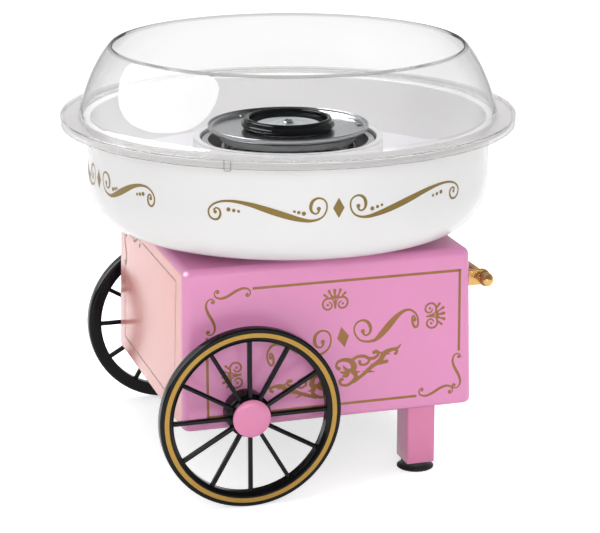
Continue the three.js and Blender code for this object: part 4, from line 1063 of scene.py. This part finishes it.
class CART_OT_guard(CartPiece, bpy.types.Operator):
    """Build the clear rim guard: skirt, flange, curved wall and the clips under it"""

    bl_idname = "cart.guard"
    bl_label = "Rim Guard"

    def build(self, sizes):
        wall = sizes.guard_wall / MM
        mouth_radius, wall_reach = 111.8, 20.85
        flange_top, mouth_top = 223.2, cad("rim_guard")[1].z

        def curve(t, offset):
            """A point of the wall, t from 0 at the flange to 1 at the mouth, set in by an offset."""
            def at(angle):
                across = wall_reach * max(math.cos(angle), 0) ** (2 / 1.29)
                up = (mouth_top - flange_top) * math.sin(angle) ** (2 / 1.37)
                return Vector((mouth_radius + across, flange_top + up))
            angle = t * math.pi / 2
            along = (at(min(angle + 0.002, math.pi / 2)) - at(max(angle - 0.002, 0))).normalized()
            return at(angle) + offset * Vector((-along.y, along.x))

        steps = [i / 26 for i in range(2, 26)]
        profile = rounded([(143, 217.1, 0.3), (145, 217.1, 0.3), (145, flange_top, 0.8),
                           (134, flange_top, 0.6), tuple(curve(0.05, 0))],
                          closed=False, steps=5)[:-1]
        profile += [curve(t, 0) for t in steps]
        profile += rounded([tuple(curve(0.97, 0)), (mouth_radius, mouth_top, 0.8),
                            (mouth_radius, mouth_top - 2.0, 0.6), tuple(curve(0.97, wall))],
                           closed=False, steps=5)[1:-1]
        profile += [curve(t, wall) for t in reversed(steps)]
        profile += [Vector((130.7, 221.2)), Vector((143, 221.2))]
        form = Form().turn(profile, 192)
        form.refinish(1, lambda middle: middle.z < flange_top + 0.1)
        form.refinish(2, lambda middle: middle.z > mouth_top - 2.1)
        form.hang("clear_guard", ["clear_styrene_moulded", "satin_styrene_moulded",
                                  "styrene_edge_moulded"], "guard",
                  ["rim_guard"], "clear_plastic", crease=40)
        clips = Form()
        outline = [(-2.0, 222.4), (-2.0, 216.6), (-1.4, 215.95),
                   (1.4, 215.95), (2.0, 216.6), (2.0, 222.4)]
        for i in range(3):
            spin = Matrix.Rotation(math.radians(-120.8 + 120 * i), 4, "Z")
            clips.sweep([spin @ Vector((144.5, y, z)) for y, z in outline], 0.42, 8)
        clips.hang("guard_clips", ["styrene_edge_moulded"], "guard", slot="clear_plastic",
                   crease=60)


class CART_OT_spinner_head(CartPiece, bpy.types.Operator):
    """Build the spinner head: pan, disc with its rolled lip, cup ring and centre screw"""

    bl_idname = "cart.spinner_head"
    bl_label = "Spinner Head"

    def build(self, sizes):
        disc = [(26, 209.6), *arc(48.5, 212.75, 3.15, 3.15, 270, 360, 10)]
        disc += rounded([(51.65, 212.75), (51.65, 213.8, 0.45), (50.7, 213.8, 0.45),
                         (50.65, 212.75)], closed=False, steps=5)[1:]
        disc += [*arc(48.5, 212.75, 2.15, 2.15, 360, 270, 10)[1:], Vector((26, 210.6))]
        form = Form().turn(disc, 160)
        # Tabs that are folded over to hold the disc
        for degrees in (-126, -6, 114):
            tab = [rectangle(1.5 - inset, 2.0 - inset, 0.5, z, 4) for inset, z in
                   ((0, 210.4), (0, 211.1), (0.3, 211.4))]
            turned = Matrix.Rotation(math.radians(degrees), 4, "Z")
            place = turned @ Matrix.Translation((46.3, 0, 0))
            form.loft([[place @ p for p in ring] for ring in tab])
        form.hang("spinner_disc", ["aluminium_spun"], "spinner_head", ["head_disc"], "aluminium")

        ring = [(24.6, 210.9), (27.4, 210.9), (28.6, 211.5),
                *arc(26.8, 213.6, 3.2, 2.3, -30, 62, 8), *arc(26.3, 216.4, 1.9, 1.6, 10, 90, 6),
                *arc(26.3, 217.0, 1.3, 1.0, 90, 170, 5), (24.9, 215.4)]
        Form().turn(ring, 128).hang("cup_ring", ["black_phenolic_moulded"], "spinner_head",
                                    ["head_cup_ring"], "black_plastic")

        pan = rounded([(2.2, 212.3), (19.9, 212.3, 0.8), (27.3, 203.8, 1.2), (43.6, 203.8, 1.6),
                       (45.5, 208.8, 0.2), (44.3, 208.8, 0.2), (43.0, 205.0, 0.8),
                       (28.5, 205.0, 1.2), (20.5, 213.5, 1.2), (2.2, 213.5)])
        form = Form().turn(pan, 96)
        # The floor of the cup is the rubbed middle of the same sheet
        floor_radius = 21.5
        form.finishes = [int(all(form.points[k].xy.length < floor_radius for k in face))
                         for face in form.faces]
        form.hang("sugar_pan", ["aluminium_pressed", "aluminium_rubbed"], "spinner_head",
                  ["head_pan"], "aluminium")

        screw = [(0, 206.8), (1.9, 206.8), (1.9, 213.8)]
        screw += rounded([(1.9, 213.8), (3.6, 213.8, 0.2), (3.6, 214.6)], closed=False, steps=3)[1:]
        screw += arc(0, 214.6, 3.55, 1.4, 8, 90, 8)
        form = Form().turn(screw, 40, closed=False)
        for degrees in (10, 100):
            turned = Matrix.Rotation(math.radians(degrees), 4, "Z")
            form.loft([[turned @ p for p in rectangle(2.3, 0.4, 0.12, z, 2)]
                       for z in (215.2, 216.02)], finish_number=1)
        form.hang("centre_screw", ["chrome_plated", "black_abs_moulded"], "spinner_head",
                  ["head_screw"], "steel")
        dress("drive_hub", "steel_drawn")


class CART_OT_motor(CartPiece, bpy.types.Operator):
    """Finish the motor and its bracket inside the housing"""

    bl_idname = "cart.motor"
    bl_label = "Motor"

    def build(self, sizes):
        for node in ("motor_bracket", "motor_can", "motor_end_cap", "motor_shaft"):
            dress(node, "steel_drawn")
        for node in ("motor_stator", "motor_rotor"):
            dress(node, "core_steel_laminated")


class CART_OT_switch(CartPiece, bpy.types.Operator):
    """Build the power switch and the cord gland on the far side"""

    bl_idname = "cart.switch"
    bl_label = "Switch and Gland"

    def build(self, sizes):
        # The bezel stands 2 mm off the wall
        body = centre("switch_body")
        place = Matrix.Translation((body.x, cad("switch_body")[1].y - 2.0, body.z))
        place @= Matrix.Rotation(-math.pi / 2, 4, "X")
        rings = [rectangle(x, y, max(r, 0.2), z, 4) for x, y, r, z in (
            (6.5, 9.6, 0.6, -18), (6.5, 9.6, 0.6, 0), (7.5, 10.5, 1.0, 0), (7.5, 10.5, 1.0, 1.4),
            (6.9, 9.9, 0.8, 2.0), (5.6, 8.8, 0.5, 2.0), (5.4, 8.6, 0.4, 1.6), (5.4, 8.6, 0.4, -7))]
        Form().loft([[place @ p for p in ring] for ring in rings]).hang(
            "switch_bezel", ["black_abs_moulded"], "cart", ["switch_body"], "black_plastic")

        tilt, half = math.radians(9), 7.8

        def paddle_top(y):
            """Height of the dished paddle, this far from its pivot."""
            return 3.4 + half * math.tan(tilt) * (abs(y) / half) ** 1.35

        tipped = place @ Matrix.Rotation(-tilt, 4, "X")
        sections = []
        for i in range(17):
            y = half * (i / 8 - 1)
            top = paddle_top(y)
            sections.append([Vector((x, y, z)) for x, z in
                             ((-5.0, -1.0), (5.0, -1.0), (5.0, top - 0.5), (4.6, top - 0.12),
                              (4.2, top), (-4.2, top), (-4.6, top - 0.12), (-5.0, top - 0.5))])
        form = Form().loft([[tipped @ p for p in ring] for ring in sections])
        form.hang("switch_paddle", ["black_abs_moulded"], "power_rocker", ["switch_rocker"],
                  "black_plastic", crease=40)

        def on_paddle(x, y, layer):
            return tipped @ Vector((x, y, paddle_top(y) + 0.04 + layer))

        circle = smooth_line([(*p, 0.22) for p in arc(0, -4.6, 1.5, 1.5, 0, 360, 16)])
        marks = motif(lines=[circle, [(0, 3.0, 0.25), (0, 6.2, 0.25)]])
        print_motifs("switch_marks", on_paddle, [marks], "white_ink_printed", "power_rocker",
                     "white_plastic")

        stem = 8.4
        gland = rounded([(3.2, -7), (5.0, -7), (5.0, 0), (7.5, 0, 0.3), (7.5, 2.4, 0.8),
                         (5.7, 2.4, 0.5), (4.8, stem, 0.5), (3.2, stem, 0.5)])
        place = sideways(1, *centre("cord_gland").xz)
        place @= Matrix.Translation((0, 0, cad("cord_gland")[1].y - stem))
        form = Form().turn(gland, 56, place=place)
        form.hang("cord_bush", ["black_polypropylene_moulded"], "cart", ["cord_gland"],
                  "black_plastic")


class CART_OT_stage(CartPiece, bpy.types.Operator):
    """Set the camera, the pale floor and the soft studio light"""

    bl_idname = "cart.stage"
    bl_label = "Stage"

    def build(self, sizes):
        scene = bpy.context.scene
        scene.view_settings.view_transform = "Standard"

        # The viewpoint of the photograph
        lens = bpy.data.cameras.new("camera")
        lens.sensor_width = 36
        lens.lens = 126.92
        lens.clip_start, lens.clip_end = 0.05, 50
        camera = bpy.data.objects.new("camera", lens)
        camera.location = (-0.3824, -1.2696, 0.5016)
        camera.rotation_euler = (math.radians(73.87), 0, math.radians(-17.09))
        scene.collection.objects.link(camera)
        scene.camera = camera

        floor = Form().turn([(0, 0), (1500, 0), (6000, 0)], 64, closed=False)
        mesh = bpy.data.meshes.new("floor")
        mesh.from_pydata([p * MM for p in floor.points], [], floor.faces)
        mesh.validate()
        ground = bpy.data.objects.new("floor", mesh)
        scene.collection.objects.link(ground)
        mesh.materials.append(self.paper())
        # A hair under the wheels and feet, so that it cuts none of them
        ground.location.z = -0.0002

        world = bpy.data.worlds.new("studio")
        scene.world = world
        world.use_nodes = True
        tree = world.node_tree
        tree.nodes.clear()
        # White all round to the eye. In mirrors it is white low down, grey overhead, and dark on
        # the near side, where a studio has no screen
        coordinates = add_node(tree, "ShaderNodeTexCoord").outputs["Generated"]
        toward = add_node(tree, "ShaderNodeSeparateXYZ", {"Vector": coordinates}).outputs
        overhead = span(tree, toward["Z"], 1.0, 0.3, start=0.1, end=0.45)
        near_side = span(tree, toward["Y"], 0.15, 1.0, start=-0.5, end=0.1)
        screen = calculate(tree, "MULTIPLY", overhead, near_side)
        path = add_node(tree, "ShaderNodeLightPath").outputs
        bounced = calculate(tree, "GREATER_THAN", path["Glossy Depth"], 0.5)
        clear = calculate(tree, "MAXIMUM", path["Is Camera Ray"], path["Is Transmission Ray"])
        turns = calculate(tree, "ADD", path["Diffuse Depth"], path["Glossy Depth"])
        seen = calculate(tree, "MULTIPLY", clear, calculate(tree, "LESS_THAN", turns, 0.5))
        level = calculate(tree, "MAXIMUM", span(tree, bounced, 0.58, screen), seen)
        sky = add_node(tree, "ShaderNodeBackground", {"Color": (1, 1, 1, 1), "Strength": level})
        add_node(tree, "ShaderNodeOutputWorld", {"Surface": sky.outputs["Background"]})

        heart = Vector((0, 0, 0.15))
        # Softboxes, turned to the cart's heart: where each stands, its width and height in metres,
        # its power, and whether it lights matt surfaces and shows in glossy ones
        for name, place, width, height, power, lit, mirrored in (
                ("key", (-0.4, -2.1, 1.0), 1.6, 1.0, 14.5, True, False),
                ("front_strip", (-0.2, -2.4, 0.45), 2.6, 0.22, 12, False, True),
                ("top", (0.2, 0.1, 1.9), 1.3, 1.0, 28.5, True, False),
                ("top_window", (0.2, 0.1, 1.9), 1.3, 1.0, 13, False, True),
                ("left_fill", (-1.9, -0.9, 0.9), 1.0, 1.0, 3, True, False),
                ("left_window", (-1.25, 0.3, 1.1), 2.1, 1.45, 75, False, True)):
            lamp = bpy.data.lights.new(name, "AREA")
            lamp.shape = "ELLIPSE"
            lamp.size, lamp.size_y = width, height
            lamp.energy = power
            stand = bpy.data.objects.new(name, lamp)
            stand.location = place
            aim = heart - stand.location
            stand.rotation_euler = aim.to_track_quat("-Z", "Y").to_euler()
            stand.visible_diffuse, stand.visible_glossy = lit, mirrored
            stand.visible_transmission = False
            scene.collection.objects.link(stand)

    def paper(self):
        """White studio paper: matt, with a fibre grain, and blown out to white where it is lit.
        Through the clear guard it is one even white, so that the guard shows against it."""
        material, tree, place = start_material("white_paper")
        paper = blend(tree, noise(tree, place, 3), colour("#E4E4E4"), colour("#EAEAEA"))
        path = add_node(tree, "ShaderNodeLightPath").outputs
        through = path["Is Transmission Ray"]
        clear = calculate(tree, "MAXIMUM", path["Is Camera Ray"], through)
        seen = calculate(tree, "MAXIMUM", clear, path["Is Glossy Ray"])
        return end_material(material, {
            "Base Color": blend(tree, through, paper, (0, 0, 0, 1)), "Roughness": 0.9,
            "Emission Color": (1, 1, 1, 1),
            "Emission Strength": span(tree, seen, 0.0, span(tree, through, 0.62, 0.97))})


OPERATORS = (
    CART_OT_stage, CART_OT_housing, CART_OT_bottom_cover, CART_OT_panel_print, CART_OT_wheels,
    CART_OT_hub_caps, CART_OT_legs, CART_OT_feet, CART_OT_handle, CART_OT_tower, CART_OT_heater,
    CART_OT_bowl, CART_OT_bowl_print, CART_OT_guard, CART_OT_spinner_head, CART_OT_motor,
    CART_OT_switch,
)


class CART_PT_pieces(bpy.types.Panel):
    """Lists the pieces of the cart and their settings"""

    bl_idname = "CART_PT_pieces"
    bl_label = "Candy Cart"
    bl_space_type = "VIEW_3D"
    bl_region_type = "UI"
    bl_category = "Candy Cart"

    def draw(self, context):
        for settings in (context.scene.cart_sizes, context.scene.cart_colours):
            box = self.layout.box()
            for name in settings.bl_rna.properties.keys():
                if name not in ("rna_type", "name"):
                    box.prop(settings, name)
        for operator in OPERATORS:
            self.layout.operator(operator.bl_idname)


CLASSES = (CartSizes, CartColours, *OPERATORS, CART_PT_pieces)


def register():
    for entry in CLASSES:
        bpy.utils.register_class(entry)
    bpy.types.Scene.cart_sizes = bpy.props.PointerProperty(type=CartSizes)
    bpy.types.Scene.cart_colours = bpy.props.PointerProperty(type=CartColours)


def unregister():
    del bpy.types.Scene.cart_colours
    del bpy.types.Scene.cart_sizes
    for entry in reversed(CLASSES):
        bpy.utils.unregister_class(entry)


def main():
    register()
    for operator in OPERATORS:
        group, name = operator.bl_idname.split(".")
        getattr(getattr(bpy.ops, group), name)()


if __name__ == "__main__":
    main()
